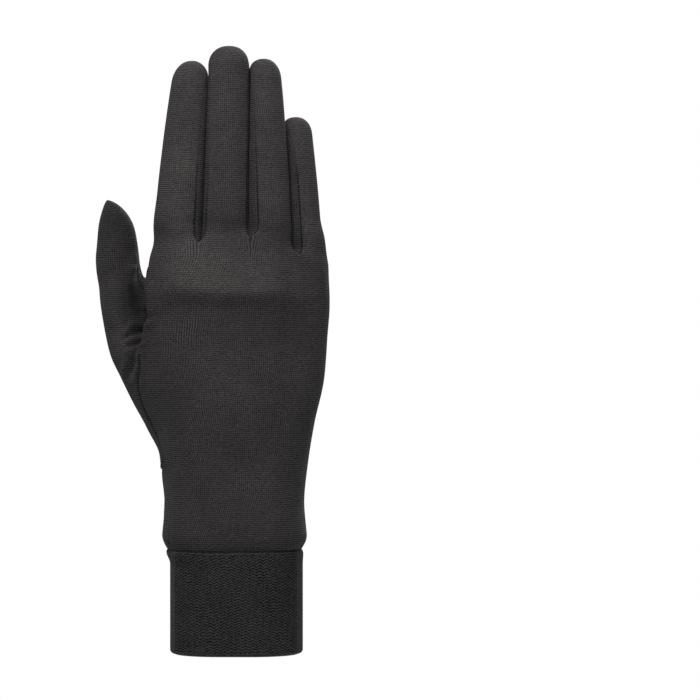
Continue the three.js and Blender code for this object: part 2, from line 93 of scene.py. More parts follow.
def table(names, *rows):
    """A table with named columns, as arrays."""
    return {name: np.array(column, dtype=float) for name, column in zip(names, zip(*rows))}


# radial, ulnar and depth go from the wrist's size at 0 to the knuckles' at 1
HAND_SECTIONS = table(
    ["height", "radial", "ulnar", "depth", "arch"],
    [0, 0.05, -0.12, 0, 0],
    [0.05, 0.16, -0.03, 0, 0],
    [0.15, 0.07, -0.12, 0.06, 0.02],
    [0.26, 0.25, 0.02, 0.25, 0.08],
    [0.4, 0.42, 0.33, 0.5, 0.25],
    [0.55, 0.7, 0.78, 0.78, 0.5],
    [0.69, 0.92, 0.93, 0.97, 0.72],
    [0.77, 0.98, 1.02, 1.02, 0.85],
    [0.83, 0.93, 1.04, 0.96, 0.93],
    [0.92, 0.76, 0.96, 1.05, 1],
    [1, 0.6, 0.8, 1.2, 1],
)
# height is a share of the rise to the thumb's tip
THUMB_SECTIONS = table(
    ["height", "reach", "radius", "set"],
    [0, 0.5, 0.8, 0.2],
    [0.16, 0.63, 1.3, 0.36],
    [0.25, 0.725, 1.48, 0.46],
    [0.34, 0.81, 1.48, 0.52],
    [0.43, 0.89, 1.36, 0.63],
    [0.56, 0.945, 1.2, 0.79],
    [0.65, 0.975, 1.1, 0.9],
    [0.73, 1, 1, 0.98],
    [0.82, 1, 0.95, 1],
    [1, 0.985, 0.93, 0.96],
)
# back and palm are shares of the girth from the thumb edge to the outer edge
LOOP_SEAM = table(
    ["height", "back", "palm"],
    [0.25, 0, 0],
    [0.253, 0.01, 0.07],
    [0.262, 0.04, 0.14],
    [0.28, 0.08, 0.2],
    [0.31, 0.095, 0.255],
    [0.36, 0.1, 0.31],
    [0.42, 0.1, 0.355],
    [0.5, 0.12, 0.388],
    [0.6, 0.19, 0.39],
    [0.7, 0.22, 0.34],
    [0.78, 0.24, 0.25],
)
WEB_TOP = 0.854
WEB_RELEASE = 0.1
WEB_LEAN = 0.35
WEB_ROUND = 4.0

# How finely the net is laid
GIRTH = 360
PER_FINGER = 24
PER_FOURCHETTE = 16
THUMB_COLUMNS = 120
ROWS_BELOW_LOOP = 44
ROWS_AT_LOOP = 96
ROWS_AT_WEB = 14
ROWS_AT_FINGER_BASE = 10
ROWS_PER_FINGER_MM = 0.85
ROWS_AT_FINGER_TIP = 17
ROWS_UP_THUMB = 16
ROWS_AT_THUMB_TIP = 30


def mix(a, b, t):
    return a + (b - a) * t


def smooth(t):
    t = np.clip(t, 0.0, 1.0)
    return t * t * (3 - 2 * t)


def round_rise(t):
    """Rises steeply and levels off, like the side of a U."""
    return np.sqrt(1 - (1 - np.clip(t, 0.0, 1.0)) ** 2)


def bell(distance, width):
    return np.exp(-((distance / width) ** 2))


def column_at(rows, name, height):
    """A column of a table at a height, smoothed through its rows."""
    h, v = rows["height"], rows[name]
    steps = np.diff(v) / np.diff(h)
    slope = np.zeros(len(h))
    product = steps[:-1] * steps[1:]
    safe = np.where(product > 0, steps[:-1] + steps[1:], 1.0)
    slope[1:-1] = np.where(product > 0, 2 * product / safe, 0.0)
    height = np.clip(height, h[0], h[-1])
    i = np.clip(np.searchsorted(h, height, side="right") - 1, 0, len(h) - 2)
    span = h[i + 1] - h[i]
    t = (height - h[i]) / span
    bulge = span * t * (1 - t) * (slope[i] * (1 - t) - slope[i + 1] * t)
    return mix(v[i], v[i + 1], smooth(t)) + bulge


JOINT = CUFF["length"]
LOOP_BOTTOM = JOINT + HAND["length"] * LOOP_SEAM["height"][0]
WEB_BASE = JOINT + HAND["length"] * LOOP_SEAM["height"][-1]
WEB_TOP_Z = JOINT + HAND["length"] * WEB_TOP
WEB_END = WEB_TOP_Z + HAND["length"] * WEB_RELEASE
THUMB_TIP_START = THUMB["tip_height"] - THUMB["tip_length"]


def place_fingers():
    """Sets each finger's base, height and tip from the sizes."""
    spacings = [
        FINGERS[i]["spacing"] * (FINGERS[i]["width"] + FINGERS[i + 1]["width"]) / 2 for i in range(3)
    ]
    row = FINGERS[0]["width"] / 2 + sum(spacings) + FINGERS[3]["width"] / 2
    for i, f in enumerate(FINGERS):
        f["x"] = HAND["offset"] - row / 2 + FINGERS[0]["width"] / 2 + sum(spacings[:i])
        f["y"] = HAND["arch"] * f["arch"]
        sides = BASE_HEIGHTS[max(i, 1)] + BASE_HEIGHTS[min(i + 1, 3)]
        f["base"] = JOINT + HAND["length"] * sides / 2
        f["tip"] = f["base"] + f["length"]
        f["tip_start"] = f["tip"] - f["width"] * TIP_LENGTH_SHARE
    return row * KNUCKLE_SPREAD


KNUCKLE_WIDTH = place_fingers()


def finger_section(f, z):
    t = np.clip((z - f["base"]) / f["length"], 0.0, 1.0)
    toward = np.clip((z - f["tip_start"]) / (f["tip"] - f["tip_start"]), 0.0, 1.0)
    cap = (1 - toward**TIP_BLUNTNESS) ** (1 / TIP_BLUNTNESS)
    half = (f["width"] / 2 * (1 - f["taper"] * t**TAPER_POWER) + KNIT_FULLNESS) * cap
    x = f["x"] + f["lean"] * f["length"] * t
    y = f["y"] + f["bend"] * f["length"] * t * t
    return x, y, half, half * FINGER_FLATNESS


def contact_plane(f, g, z):
    """The plane halfway between two neighbours: its normal and a point, at each height."""
    ax, ay, aa, ad = finger_section(f, z)
    bx, by, ba, bd = finger_section(g, z)
    distance = np.hypot(bx - ax, by - ay)
    nx, ny = (bx - ax) / distance, (by - ay) / distance
    along = (distance**2 + ((aa + ad) / 2) ** 2 - ((ba + bd) / 2) ** 2) / (2 * distance)
    return nx, ny, ax + nx * along, ay + ny * along


def keep_side(x, y, plane, side):
    """Holds points on their own side of the plane, softly flattened."""
    nx, ny, px, py = plane
    along = ((y - py) * nx - (x - px) * ny) / CONTACT_BOW_HALF
    bow = CONTACT_BOW * np.exp(-(along**2))
    reach = ((x - px) * nx + (y - py) * ny - bow) * side
    over = reach + FINGER_GAP / 2 + CONTACT_SOFTNESS
    held = -FINGER_GAP / 2 - CONTACT_SOFTNESS * np.exp(-np.maximum(over, 0) / CONTACT_SOFTNESS)
    move = np.where(over > 0, side * (held - reach), 0.0)
    return x + nx * move, y + ny * move


def finger_point(i, angle, z):
    cx, cy, across, deep = finger_section(FINGERS[i], z)
    c, s = np.cos(angle), np.sin(angle)
    power = 2 / FINGER_SQUARENESS
    x = cx + across * np.sign(c) * np.abs(c) ** power
    y = cy + deep * np.sign(s) * np.abs(s) ** power
    if i > 0:
        x, y = keep_side(x, y, contact_plane(FINGERS[i - 1], FINGERS[i], z), -1)
    if i < 3:
        x, y = keep_side(x, y, contact_plane(FINGERS[i], FINGERS[i + 1], z), 1)
    return x, y


# How much slimmer the hand is under the index, ring and little finger than under the middle finger
INDEX_SLIMNESS = 0.94
RING_SLIMNESS = 0.98
LITTLE_SLIMNESS = 0.8


def hand_discs(z):
    """The hand's four rays as discs (x, y, radius) at a height."""
    height = (z - JOINT) / HAND["length"]
    radial, ulnar, depth, arch = (
        float(column_at(HAND_SECTIONS, n, height)) for n in ("radial", "ulnar", "depth", "arch")
    )
    wrist = HAND["wrist_width"] / 2
    left = -mix(wrist, KNUCKLE_WIDTH / 2, radial)
    right = mix(wrist, KNUCKLE_WIDTH / 2, ulnar)
    radius = mix(HAND["wrist_depth"], HAND["knuckle_depth"], depth) / 2
    slimness = [mix(1, INDEX_SLIMNESS, arch), 1, RING_SLIMNESS, mix(1, LITTLE_SLIMNESS, arch)]
    radii = radius * np.array(slimness)
    first, last = left + radii[0], right - radii[3]
    reach = FINGERS[3]["x"] - FINGERS[0]["x"]
    xs = [mix(first, last, (f["x"] - FINGERS[0]["x"]) / reach) for f in FINGERS]
    return np.array([[xs[i], FINGERS[i]["y"] * arch, radii[i]] for i in range(4)])


def thumb_disc(z):
    height = (z - LOOP_BOTTOM) / (THUMB["tip_height"] - LOOP_BOTTOM)
    toward = np.clip((z - THUMB_TIP_START) / THUMB["tip_length"], 0.0, 1.0)
    cap = (1 - toward**2) ** THUMB_TIP_SHARPNESS
    body = float(column_at(THUMB_SECTIONS, "radius", height)) * THUMB["width"] / 2
    reach = float(column_at(THUMB_SECTIONS, "reach", height)) * THUMB["reach"]
    r = body * cap
    y = float(column_at(THUMB_SECTIONS, "set", height)) * THUMB["palm_set"]
    return np.array([mix(body, r, THUMB_TIP_TURN) - reach, y, r])


# Below this height the seam on the thumb's side turns on to the back, by so many places of the girth
SIDE_SEAM_FROM = 70.0
SIDE_SEAM_TURN = 34.0
ANGLES = math.pi + np.arange(GIRTH) * 2 * math.pi / GIRTH
HALF = GIRTH // 2


def band_round(discs):
    """The line of a band stretched round discs, from the thumb side over the back and round."""
    c, s = np.cos(ANGLES), np.sin(ANGLES)
    support = discs[:, 0:1] * c + discs[:, 1:2] * s + discs[:, 2:3]
    best = discs[np.argmax(support, axis=0)]
    return np.stack([best[:, 0] + best[:, 2] * c, best[:, 1] + best[:, 2] * s], axis=1)


def stretch(ring, start, end):
    """The stretch of a closed line between two places, each an index with its fraction."""
    inner = np.arange(math.floor(start + 1e-9) + 1, math.ceil(end - 1e-9))
    places = np.concatenate([[start], inner, [end]])
    low = np.floor(places + 1e-9).astype(int)
    t = np.maximum(0.0, places - low)[:, None]
    return mix(ring[low % GIRTH], ring[(low + 1) % GIRTH], t)


def run_along(line):
    """The length from the start of a line to each of its points."""
    return np.concatenate([[0], np.cumsum(np.linalg.norm(np.diff(line, axis=0), axis=1))])


def point_at(line, shares):
    run = run_along(line)
    want = np.clip(shares, 0, 1) * run[-1]
    return np.stack([np.interp(want, run, line[:, 0]), np.interp(want, run, line[:, 1])], axis=-1)


def share_at_plane(line, plane):
    nx, ny, px, py = plane
    side = (line[:, 0] - px) * nx + (line[:, 1] - py) * ny
    run = run_along(line)
    i = int(np.nonzero(side[:-1] * side[1:] <= 0)[0][0])
    return (run[i] + (run[i + 1] - run[i]) * side[i] / (side[i] - side[i + 1])) / run[-1]


def place_of(ring, point):
    """The place on a closed line nearest to a point."""
    a, b = ring, np.roll(ring, -1, axis=0)
    d = b - a
    long = np.maximum((d**2).sum(axis=1), 1e-12)
    t = np.clip(((point - a) * d).sum(axis=1) / long, 0, 1)
    away = np.linalg.norm(a + d * t[:, None] - point, axis=1)
    i = int(np.argmin(np.round(away, 9)))
    return i + float(t[i])


def loop_lines(z):
    """One band round hand and thumb, cut at the two sides of the thumb's seam loop."""
    height = (z - JOINT) / HAND["length"]
    ring = band_round(np.vstack([hand_discs(z), thumb_disc(z)]))
    back = stretch(ring, 0, HALF)
    palm = stretch(ring, HALF, GIRTH)
    back_cut = place_of(ring, point_at(back, float(column_at(LOOP_SEAM, "back", height))))
    palm_cut = place_of(ring, point_at(palm, 1 - float(column_at(LOOP_SEAM, "palm", height))))
    return dict(
        back=stretch(ring, back_cut, HALF),
        palm=stretch(ring, HALF, palm_cut),
        thumb=stretch(ring, palm_cut, back_cut + GIRTH),
    )


def split_lines(hands, thumb, hand_web, thumb_web, rounding=0.0):
    """Two bands, one round the hand and one round the thumb, each held to the points of the web."""

    def dot(p, inner):
        toward = inner[:2] - p
        r = min(rounding, inner[2] / 2)
        return np.append(p + toward * r / max(np.linalg.norm(toward), 1e-9), r)

    hand_ring = band_round(np.vstack([hands] + [dot(p, hands[0]) for p in hand_web]))
    thumb_ring = band_round(np.vstack([thumb] + [dot(p, thumb) for p in thumb_web]))
    start, end = place_of(hand_ring, hand_web[0]), place_of(hand_ring, hand_web[1])
    t_start, t_end = place_of(thumb_ring, thumb_web[1]), place_of(thumb_ring, thumb_web[0])
    back = stretch(hand_ring, start, HALF + GIRTH if start > HALF else HALF)
    palm = stretch(hand_ring, HALF, end + GIRTH if end < HALF else end)
    around = stretch(thumb_ring, t_start, t_end + GIRTH if t_end <= t_start + 1e-6 else t_end)
    back[0], palm[-1], around[0], around[-1] = hand_web[0], hand_web[1], thumb_web[1], thumb_web[0]
    return dict(back=back, palm=palm, thumb=around)


def lines_at(z):
    """The lines round the hand and the thumb at a height."""
    if z <= LOOP_BOTTOM + 1e-9:
        ring = band_round(hand_discs(z))
        turned = SIDE_SEAM_TURN * min(1.0, max(0.0, (SIDE_SEAM_FROM - z) / (SIDE_SEAM_FROM - JOINT)))
        return dict(back=stretch(ring, turned, HALF), palm=stretch(ring, HALF, GIRTH + turned))
    if z <= WEB_BASE + 1e-9:
        return loop_lines(z)
    base = loop_lines(WEB_BASE)
    back, palm = base["back"][0], base["palm"][-1]
    top = mix(back, palm, WEB_LEAN)
    hands, thumb = hand_discs(z), thumb_disc(z)
    if z <= WEB_TOP_Z + 1e-9:
        u = min(1.0, (z - WEB_BASE) / (WEB_TOP_Z - WEB_BASE))
        onward = 1 - math.sqrt(1 - u * u)
        web = [mix(back, top, onward), mix(palm, top, onward)]
        return split_lines(hands, thumb, web, web)
    released = float(round_rise((z - WEB_TOP_Z) / (WEB_END - WEB_TOP_Z)))
    hand_side = np.array([hands[0][0] - hands[0][2], hands[0][1]])
    toward = (hands[0][:2] - thumb[:2]) / np.linalg.norm(hands[0][:2] - thumb[:2])
    thumb_side = thumb[:2] + toward * thumb[2]
    hand_point, thumb_point = mix(top, hand_side, released), mix(top, thumb_side, released)
    return split_lines(hands, thumb, [hand_point] * 2, [thumb_point] * 2, WEB_ROUND)


def find_crotches():
    """Where the crotches between the fingers fall on the back and on the palm."""
    found = []
    for i in range(3):
        z = JOINT + HAND["length"] * BASE_HEIGHTS[i + 1]
        lines = lines_at(z)
        plane = contact_plane(FINGERS[i], FINGERS[i + 1], z)
        back = share_at_plane(lines["back"], plane)
        palm = 1 - share_at_plane(lines["palm"][::-1], plane)
        found.append(dict(height=z, angle=math.atan2(plane[1], plane[0]), back=back, palm=palm))
    return found


CROTCHES = find_crotches()


def crowded(count, crowding=0.75):
    """Shares from 0 to 1, closer together at both ends."""
    t = np.linspace(0, 1, count + 1)
    return mix(t, (1 - np.cos(math.pi * t)) / 2, crowding)


FINGER_SHARES = crowded(PER_FINGER)
# The places of a panel's columns, counted in fingers
FINGER_PLACES = np.concatenate([[0.0]] + [i + FINGER_SHARES[1:] for i in range(4)])


def column_shares(side):
    cuts = [c[side] for c in CROTCHES]
    ends = [0.0] + (cuts if side == "back" else cuts[::-1]) + [1.0]
    parts = [[0.0]] + [mix(ends[f], ends[f + 1], FINGER_SHARES[1:]) for f in range(4)]
    return np.concatenate(parts)


def rising(count, shape):
    return [shape((i + 1) / count) for i in range(count)]


def closing(low, high):
    """From low to high in steps that grow shorter, as a dome's rows do."""
    return lambda t: mix(low, high, math.sin(t * math.pi / 2))


HAND_HEIGHTS = (
    [JOINT, JOINT + 0.25, JOINT + 0.6]
    + rising(ROWS_BELOW_LOOP, lambda t: mix(JOINT + 0.6, LOOP_BOTTOM, t))
    + rising(ROWS_AT_LOOP, lambda t: mix(LOOP_BOTTOM, WEB_BASE, t**1.5))
    + rising(ROWS_AT_WEB, closing(WEB_BASE, WEB_TOP_Z))
)
# Shares of the way from the web's top to the finger bases
BASE_ROWS = [0.03, 0.08, 0.14, 0.2, 0.27, 0.34, 0.41, 0.48, 0.55]
BASE_ROWS += [0.62, 0.69, 0.76, 0.82, 0.88, 0.93, 0.97, 1.0]
TOP_LEVELS = np.arange(WEB_TOP_Z, JOINT + HAND["length"] * max(BASE_HEIGHTS) + 0.6, 0.5)
TOP_LINES = [lines_at(z) for z in TOP_LEVELS]
HAND_LINES = [lines_at(z) for z in HAND_HEIGHTS]


def hand_rows(side):
    """A panel's net over the hand: rows, columns, xyz in millimetres."""
    shares = column_shares(side)
    rows = [
        np.column_stack([point_at(line[side], shares), np.full(len(shares), z)])
        for z, line in zip(HAND_HEIGHTS, HAND_LINES)
    ]
    fine = np.array([point_at(line[side], shares) for line in TOP_LINES])
    places = FINGER_PLACES if side == "back" else 4 - FINGER_PLACES
    base = JOINT + HAND["length"] * np.interp(places, np.arange(5), BASE_HEIGHTS)
    for t in BASE_ROWS:
        z = mix(WEB_TOP_Z, base, t)
        k = (z - TOP_LEVELS[0]) / (TOP_LEVELS[1] - TOP_LEVELS[0])
        low = np.minimum(k.astype(int), len(TOP_LEVELS) - 2)
        part = (k - low)[:, None]
        columns = np.arange(len(shares))
        rows.append(np.column_stack([mix(fine[low, columns], fine[low + 1, columns], part), z]))
    return np.array(rows)


def finger_heights(f):
    """The heights of a finger's rows: close together at its base and at its tip."""
    crotch = CROTCH_DEPTH * f["length"]
    near = [f["base"] + crotch * (k / ROWS_AT_FINGER_BASE) ** 2 for k in range(1, ROWS_AT_FINGER_BASE)]
    body = np.linspace(f["base"] + crotch, f["tip_start"], int(f["length"] * ROWS_PER_FINGER_MM))
    return np.concatenate([near, body, rising(ROWS_AT_FINGER_TIP, closing(f["tip_start"], f["tip"]))])


def seam_angles(i, z):
    """The angles of the edges of a finger's four faces at a height."""
    f = FINGERS[i]
    t = np.clip((z - f["base"]) / f["length"] / FOURCHETTE_END, 0.0, 1.0)
    opened = np.sqrt(1 - t**FOURCHETTE_END_SHARPNESS)
    turn = {name: math.radians(angle) * opened for name, angle in SEAM_ANGLES[i].items()}
    inner_facing = math.pi + (CROTCHES[i - 1]["angle"] if i > 0 else 0.0)
    outer_facing = 2 * math.pi + (CROTCHES[i]["angle"] if i < 3 else 0.0)
    back = (inner_facing + turn["inner_back"], outer_facing - turn["outer_back"])
    palm = (outer_facing + turn["outer_palm"], inner_facing + 2 * math.pi - turn["inner_palm"])
    return dict(
        back=back,
        outer=(back[1], palm[0]),
        palm=palm,
        inner=(back[0], palm[1] - 2 * math.pi),
    )


def grown_rows(i, face, across, heights, start):
    """The net over one face of a finger, growing from a line of the hand.
    It leaves the hand steeply beside a crotch and gently elsewhere."""
    f = FINGERS[i]
    z = heights[:, None]
    outward = across if face == "back" else 1 - across
    beside = np.ones_like(across)
    if face in ("back", "palm"):
        inner = 1 - outward if i > 0 else outward * 0
        outer = outward if i < 3 else outward * 0
        beside = np.maximum(inner, outer) ** 2
    steep = round_rise((z - f["base"]) / (CROTCH_DEPTH * f["length"]))
    gentle = smooth((z - f["base"]) / (GENTLE_DEPTH * f["length"]))
    rise = mix(gentle, steep, beside[None, :])
    settle = 1 - gentle
    first, last = seam_angles(i, z)[face]
    angle = mix(first, last, across[None, :])
    x, y = finger_point(i, angle, z + 0 * angle)
    net = np.empty(angle.shape + (3,))
    net[..., 0] = mix(start[None, :, 0], x, rise)
    net[..., 1] = mix(start[None, :, 1], y, rise)
    net[..., 2] = z + (start[None, :, 2] - f["base"]) * settle
    return net


def finger_strip(i, side, base_row):
    first = (i if side == "back" else 3 - i) * PER_FINGER
    start = base_row[first : first + PER_FINGER + 1]
    rows = grown_rows(i, side, FINGER_SHARES, finger_heights(FINGERS[i]), start)
    return np.concatenate([start[None], rows])


def fourchette_rows(i, back_base, palm_base):
    """The strip up both facing sides of two fingers, joined at their crotch."""
    column = (i + 1) * PER_FINGER
    shares = crowded(PER_FOURCHETTE)
    saddle = mix(back_base[column][None], palm_base[len(palm_base) - 1 - column][None], shares[:, None])

    def side(index, face):
        f = FINGERS[index]
        heights = finger_heights(f)
        heights = heights[(heights - f["base"]) / f["length"] <= FOURCHETTE_END]
        return grown_rows(index, face, shares, heights, saddle)

    return np.concatenate([side(i + 1, "inner")[::-1], saddle[None], side(i, "outer")])


def thumb_rows():
    shares = crowded(THUMB_COLUMNS)
    heights = [z for z in HAND_HEIGHTS if z >= LOOP_BOTTOM - 1e-9]
    heights += rising(ROWS_UP_THUMB, lambda t: mix(WEB_TOP_Z, THUMB_TIP_START, t))
    heights += rising(ROWS_AT_THUMB_TIP, closing(THUMB_TIP_START, THUMB["tip_height"]))
    rows = []
    for z in heights:
        if z <= LOOP_BOTTOM + 1e-9:
            point = lines_at(LOOP_BOTTOM)["back"][0]
            points = np.repeat(point[None], len(shares), axis=0)
        else:
            points = point_at(lines_at(z)["thumb"], shares)
        rows.append(np.column_stack([points, np.full(len(shares), z)]))
    return np.array(rows)


def cuff_row(z, shares):
    """The cuff's line at a height, over the back and round, as it widens to the wrist."""
    edge = CUFF["edge_round"]
    radius = CUFF["depth"] / 2 - (1 - float(round_rise(z / edge))) * edge
    shift = (CUFF["width"] - CUFF["depth"]) / 2
    ring = band_round(np.array([[-shift, 0, radius], [shift, 0, radius]]))
    wrist = band_round(hand_discs(JOINT))
    widened = float(smooth((z / JOINT - CUFF_FLARE) / (1 - CUFF_FLARE)))
    halves = []
    for start, end in ((0, HALF), (HALF, GIRTH)):
        low, high = (point_at(stretch(line, start, end), shares) for line in (ring, wrist))
        halves.append(mix(low, high, widened))
    points = np.concatenate([halves[0], halves[1][1:]])
    return np.column_stack([points, np.full(len(points), z)])


# All the nets together

HAND_BACK = hand_rows("back")
HAND_PALM = hand_rows("palm")
FOURCHETTES = ["fourchette_index_middle", "fourchette_middle_ring", "fourchette_ring_little"]
NETS = {
    "back_panel": [HAND_BACK] + [finger_strip(i, "back", HAND_BACK[-1]) for i in range(4)],
    "palm_panel": [HAND_PALM] + [finger_strip(i, "palm", HAND_PALM[-1]) for i in range(4)],
    "thumb": [thumb_rows()],
}
for order, node in enumerate(FOURCHETTES):
    NETS[node] = [fourchette_rows(order, HAND_BACK[-1], HAND_PALM[-1])]


def weld(points):
    """Points that fall together: the first of each, and where each point went."""
    keys = np.round(points * 1000).astype(np.int64)
    _, first, index = np.unique(keys, axis=0, return_index=True, return_inverse=True)
    return first, index.reshape(-1)


def quads_of(nets):
    """Corner numbers of all faces of some nets, counted through the nets' points."""
    found, offset = [], 0
    for net in nets:
        index = offset + np.arange(net.shape[0] * net.shape[1]).reshape(net.shape[:2])
        corners = [index[:-1, :-1], index[:-1, 1:], index[1:, 1:], index[1:, :-1]]
        found.append(np.stack(corners, -1).reshape(-1, 4))
        offset += index.size
    return np.concatenate(found)


def flat(nets):
    return np.concatenate([net.reshape(-1, net.shape[-1]) for net in nets])


def unflat(points, nets):
    """Values at the nets' points, shaped like the nets again."""
    ends = np.cumsum([net.shape[0] * net.shape[1] for net in nets])[:-1]
    return [part.reshape(net.shape[:2] + (-1,)) for part, net in zip(np.split(points, ends), nets)]


def shared_normals(nets):
    """Outward normals of the nets' points, the same wherever points fall together."""
    points = flat(nets)
    first, index = weld(points)
    corners = index[quads_of(nets)]
    places = points[first]
    across = places[corners[:, 2]] - places[corners[:, 0]]
    up = places[corners[:, 3]] - places[corners[:, 1]]
    facing = np.cross(across, up)
    total = np.zeros_like(places)
    for corner in range(4):
        np.add.at(total, corners[:, corner], facing)
    total /= np.maximum(np.linalg.norm(total, axis=1, keepdims=True), 1e-9)
    return total[index]


def line_distance(points, start, end):
    """Distance from points to a stretch of line, and the share along it, all as x and z."""
    start, end = np.array([start, end], dtype=float)
    run = end - start
    t = np.clip(((points - start) @ run) / (run @ run), 0, 1)
    return np.linalg.norm(points - (start + t[:, None] * run), axis=1), t


# Soft relief, in millimetres. Each mound is x and z of its crest, how far it falls away across to the sides,
# below and above along the hand, and how far it rises. The light from above shows their upper sides.
BACK_MOUNDS = [
    (-21, 159.5, 11, 5, 20, 2.2),
    (-4, 158, 11, 4.5, 20, 2.3),
    (13, 158, 10, 5, 18, 1.9),
    (28, 156.5, 8, 5.5, 14, 1.3),
    (-4, 120, 14, 14, 18, 0.5),
    (-53.5, 158, 5, 22, 18, 0.9),
    (-44, 153, 3.6, 9, 9, -1.5),
    (-20, 139, 11, 7, 9, 0.3),
    (-25, 210, 7, 6, 12, 0.35),
    (-4, 217, 7, 6, 12, 0.3),
    (13, 212, 7, 6, 12, 0.3),
    (29, 195, 6, 5, 10, 0.25),
    (-52, 148, 8, 6, 12, 0.5),
    (4, 60, 30, 9, 18, 0.4),
]
PALM_MOUNDS = [
    (-24, 204, 8, 8, 9, 0.5),
    (-27, 249, 7, 9, 8, 0.4),
    (-5, 207, 8, 7, 7, 0.45),
    (-4, 224, 8, 5, 6, 0.4),
    (-3, 253, 8, 8, 6, 0.4),
    (13, 202, 8, 8, 9, 0.5),
    (12, 249, 7, 9, 7, 0.4),
    (29, 190, 7, 6, 8, 0.4),
    (26, 228, 6, 7, 6, 0.35),
    (-15, 172, 14, 7, 8, 0.7),
    (10, 170, 14, 7, 9, 0.8),
    (26, 118, 12, 25, 25, 0.9),
    (-38, 165, 7, 12, 5, -0.7),
]
# Each crease is x and z of one end and of the other, its half width and its depth. A soft lip lies on both
# of its sides.
BACK_CREASES = [
    (-41.5, 169, -41.5, 156, 2.2, 5.5),
    (-41, 158, -40.6, 146.5, 2.1, 4.8),
    (-40.6, 147, -43.6, 133, 1.7, 3.4),
    (-43.6, 133.5, -46.5, 120.5, 1.4, 2.2),
    (-41, 141.5, -48.5, 136.5, 1.3, 1.3),
    (-41, 137, -47, 133.5, 1.1, 1),
    (-30, 188, -16, 186.5, 1.6, 0.16),
    (21.5, 176, 26, 168, 2.2, 0.25),
    (-16.5, 177, -17.5, 168, 2, 0.25),
    (5.5, 180, 5.5, 172, 2, 0.2),
]
PALM_CREASES = [
    (20, 175, 30, 170, 1.2, 0.7),
    (5, 194, 13, 184, 1.2, 0.4),
    (-32, 186, -16, 185, 1.3, 0.4),
    (-14, 187, 5, 186, 1.2, 0.35),
    (-33, 213, -19, 212, 1.3, 0.4),
    (-12, 215, 4, 215, 1.3, 0.4),
    (5, 213, 20, 212, 1.3, 0.4),
    (-38.5, 152, -38, 126, 1.9, 1.5),
    (-33, 150, -25, 157, 1.4, 0.8),
    (-35, 146, -27, 147, 1.1, 0.7),
    (-36.5, 158, -30, 163, 1.3, 0.8),
    (20, 60, -8, 56, 2.5, 0.3),
]


def raised(points, mounds):
    """The height of some mounds at the points, seen from the back or the palm."""
    x, z = points[:, 0], points[:, 2]
    offset = np.zeros(len(points))
    for crest_x, crest_z, across, below, above, rise in mounds:
        fall = np.where(z < crest_z, below, above)
        offset += rise * bell(x - crest_x, across) * bell(z - crest_z, fall)
    return offset


CREASE_LIP = 0.45
CREASE_END_DEPTH = 0.35


def relief(points, mounds, creases):
    offset = raised(points, mounds)
    for x1, z1, x2, z2, wide, deep in creases:
        away, t = line_distance(points[:, [0, 2]], (x1, z1), (x2, z2))
        fade = np.clip(4 * np.minimum(t, 1 - t) + CREASE_END_DEPTH, 0, 1)
        dip = bell(away, wide) - CREASE_LIP * bell(away - 2 * wide, wide)
        offset -= deep * dip * fade
    return offset


# The slight unevenness of a stretched knit: the length and height of a few long waves
SOFT_WAVES = [(23, 0.12), (14, 0.08), (8.5, 0.05)]


def soft_waves(points):
    """The waves' height at the points. Each crosses the hand in another direction, so that none line up."""
    x, y, z = points.T
    total = np.zeros(len(points))
    for k, (size, height) in enumerate(SOFT_WAVES):
        turn = 1.1 + 0.7 * k
        a = np.sin((x * math.cos(turn) + z * math.sin(turn)) * 2 * math.pi / size + 1.3 * k + y * 0.11)
        b = np.sin((z * math.cos(turn) - x * math.sin(turn)) * 2 * math.pi / (size * 1.37) + 2.1 * k)
        total += height * a * b
    return total


# Painted highlight: the knit's colour is lightened over the knuckle mounds, the fingers and the tight spots,
# partly for the paler look of stretched knit and partly as a painted highlight.
STRETCH_AND_HIGHLIGHT_RISE = 2.4
FINGER_STRETCH_AND_HIGHLIGHT = 0.42
FINGER_STRETCH_AND_HIGHLIGHT_OVER = 20.0
THUMB_SIDE_X = -38.0
FOLD_SHADE_LIMIT = -38.5
# Where the knit is tighter than elsewhere on the fingers and the thumb's base, and so lightened, partly for
# its stretch and partly as a painted highlight; and the fold at the thumb, darkened as painted shade. They
# are written as mounds are, with a share from 0 to 1 as their rise.
TIGHT_AND_HIGHLIGHT_SPOTS = [
    (-24, 213, 7, 9, 10, 0.46),
    (-25.5, 190, 7.5, 9, 8, 0.6),
    (31, 186, 6, 9, 9, 0.46),
    (-50.5, 135.5, 6, 8, 9, 0.45),
]
# Painted shade in the fold where the thumb tucks against the back of the hand
FOLD_SHADE_SPOTS = [
    (-54, 189, 9, 9, 14, 0.44),
    (-45, 157, 5.5, 14, 13, 1),
]


def stretch_and_highlight(points):
    """How far the knit is stretched over the knuckles and the fingers, from 0 to 1, by which its colour is
    lightened: partly for the stretch, partly as a painted highlight.
    """
    mounds = raised(points, BACK_MOUNDS) / STRETCH_AND_HIGHLIGHT_RISE
    fingers = FINGER_STRETCH_AND_HIGHLIGHT * smooth((points[:, 2] - JOINT - HAND["length"]) / FINGER_STRETCH_AND_HIGHLIGHT_OVER)
    tight_and_lit = np.maximum(mounds, fingers) * (points[:, 0] > THUMB_SIDE_X)
    return np.clip(tight_and_lit + raised(points, TIGHT_AND_HIGHLIGHT_SPOTS), 0, 1)


def thumb_fold_shade_share(points):
    """How far the fold beside the thumb is darkened, from 0 to 1: painted shade."""
    return np.clip(raised(points, FOLD_SHADE_SPOTS), 0, 1) * (points[:, 0] < FOLD_SHADE_LIMIT)


def edge_pairs(corners):
    """The edges of some faces, each once."""
    pairs = np.concatenate([corners[:, [k, (k + 1) % 4]] for k in range(4)])
    pairs = np.unique(np.sort(pairs[pairs[:, 0] != pairs[:, 1]], axis=1), axis=0)
    return pairs[:, 0], pairs[:, 1]


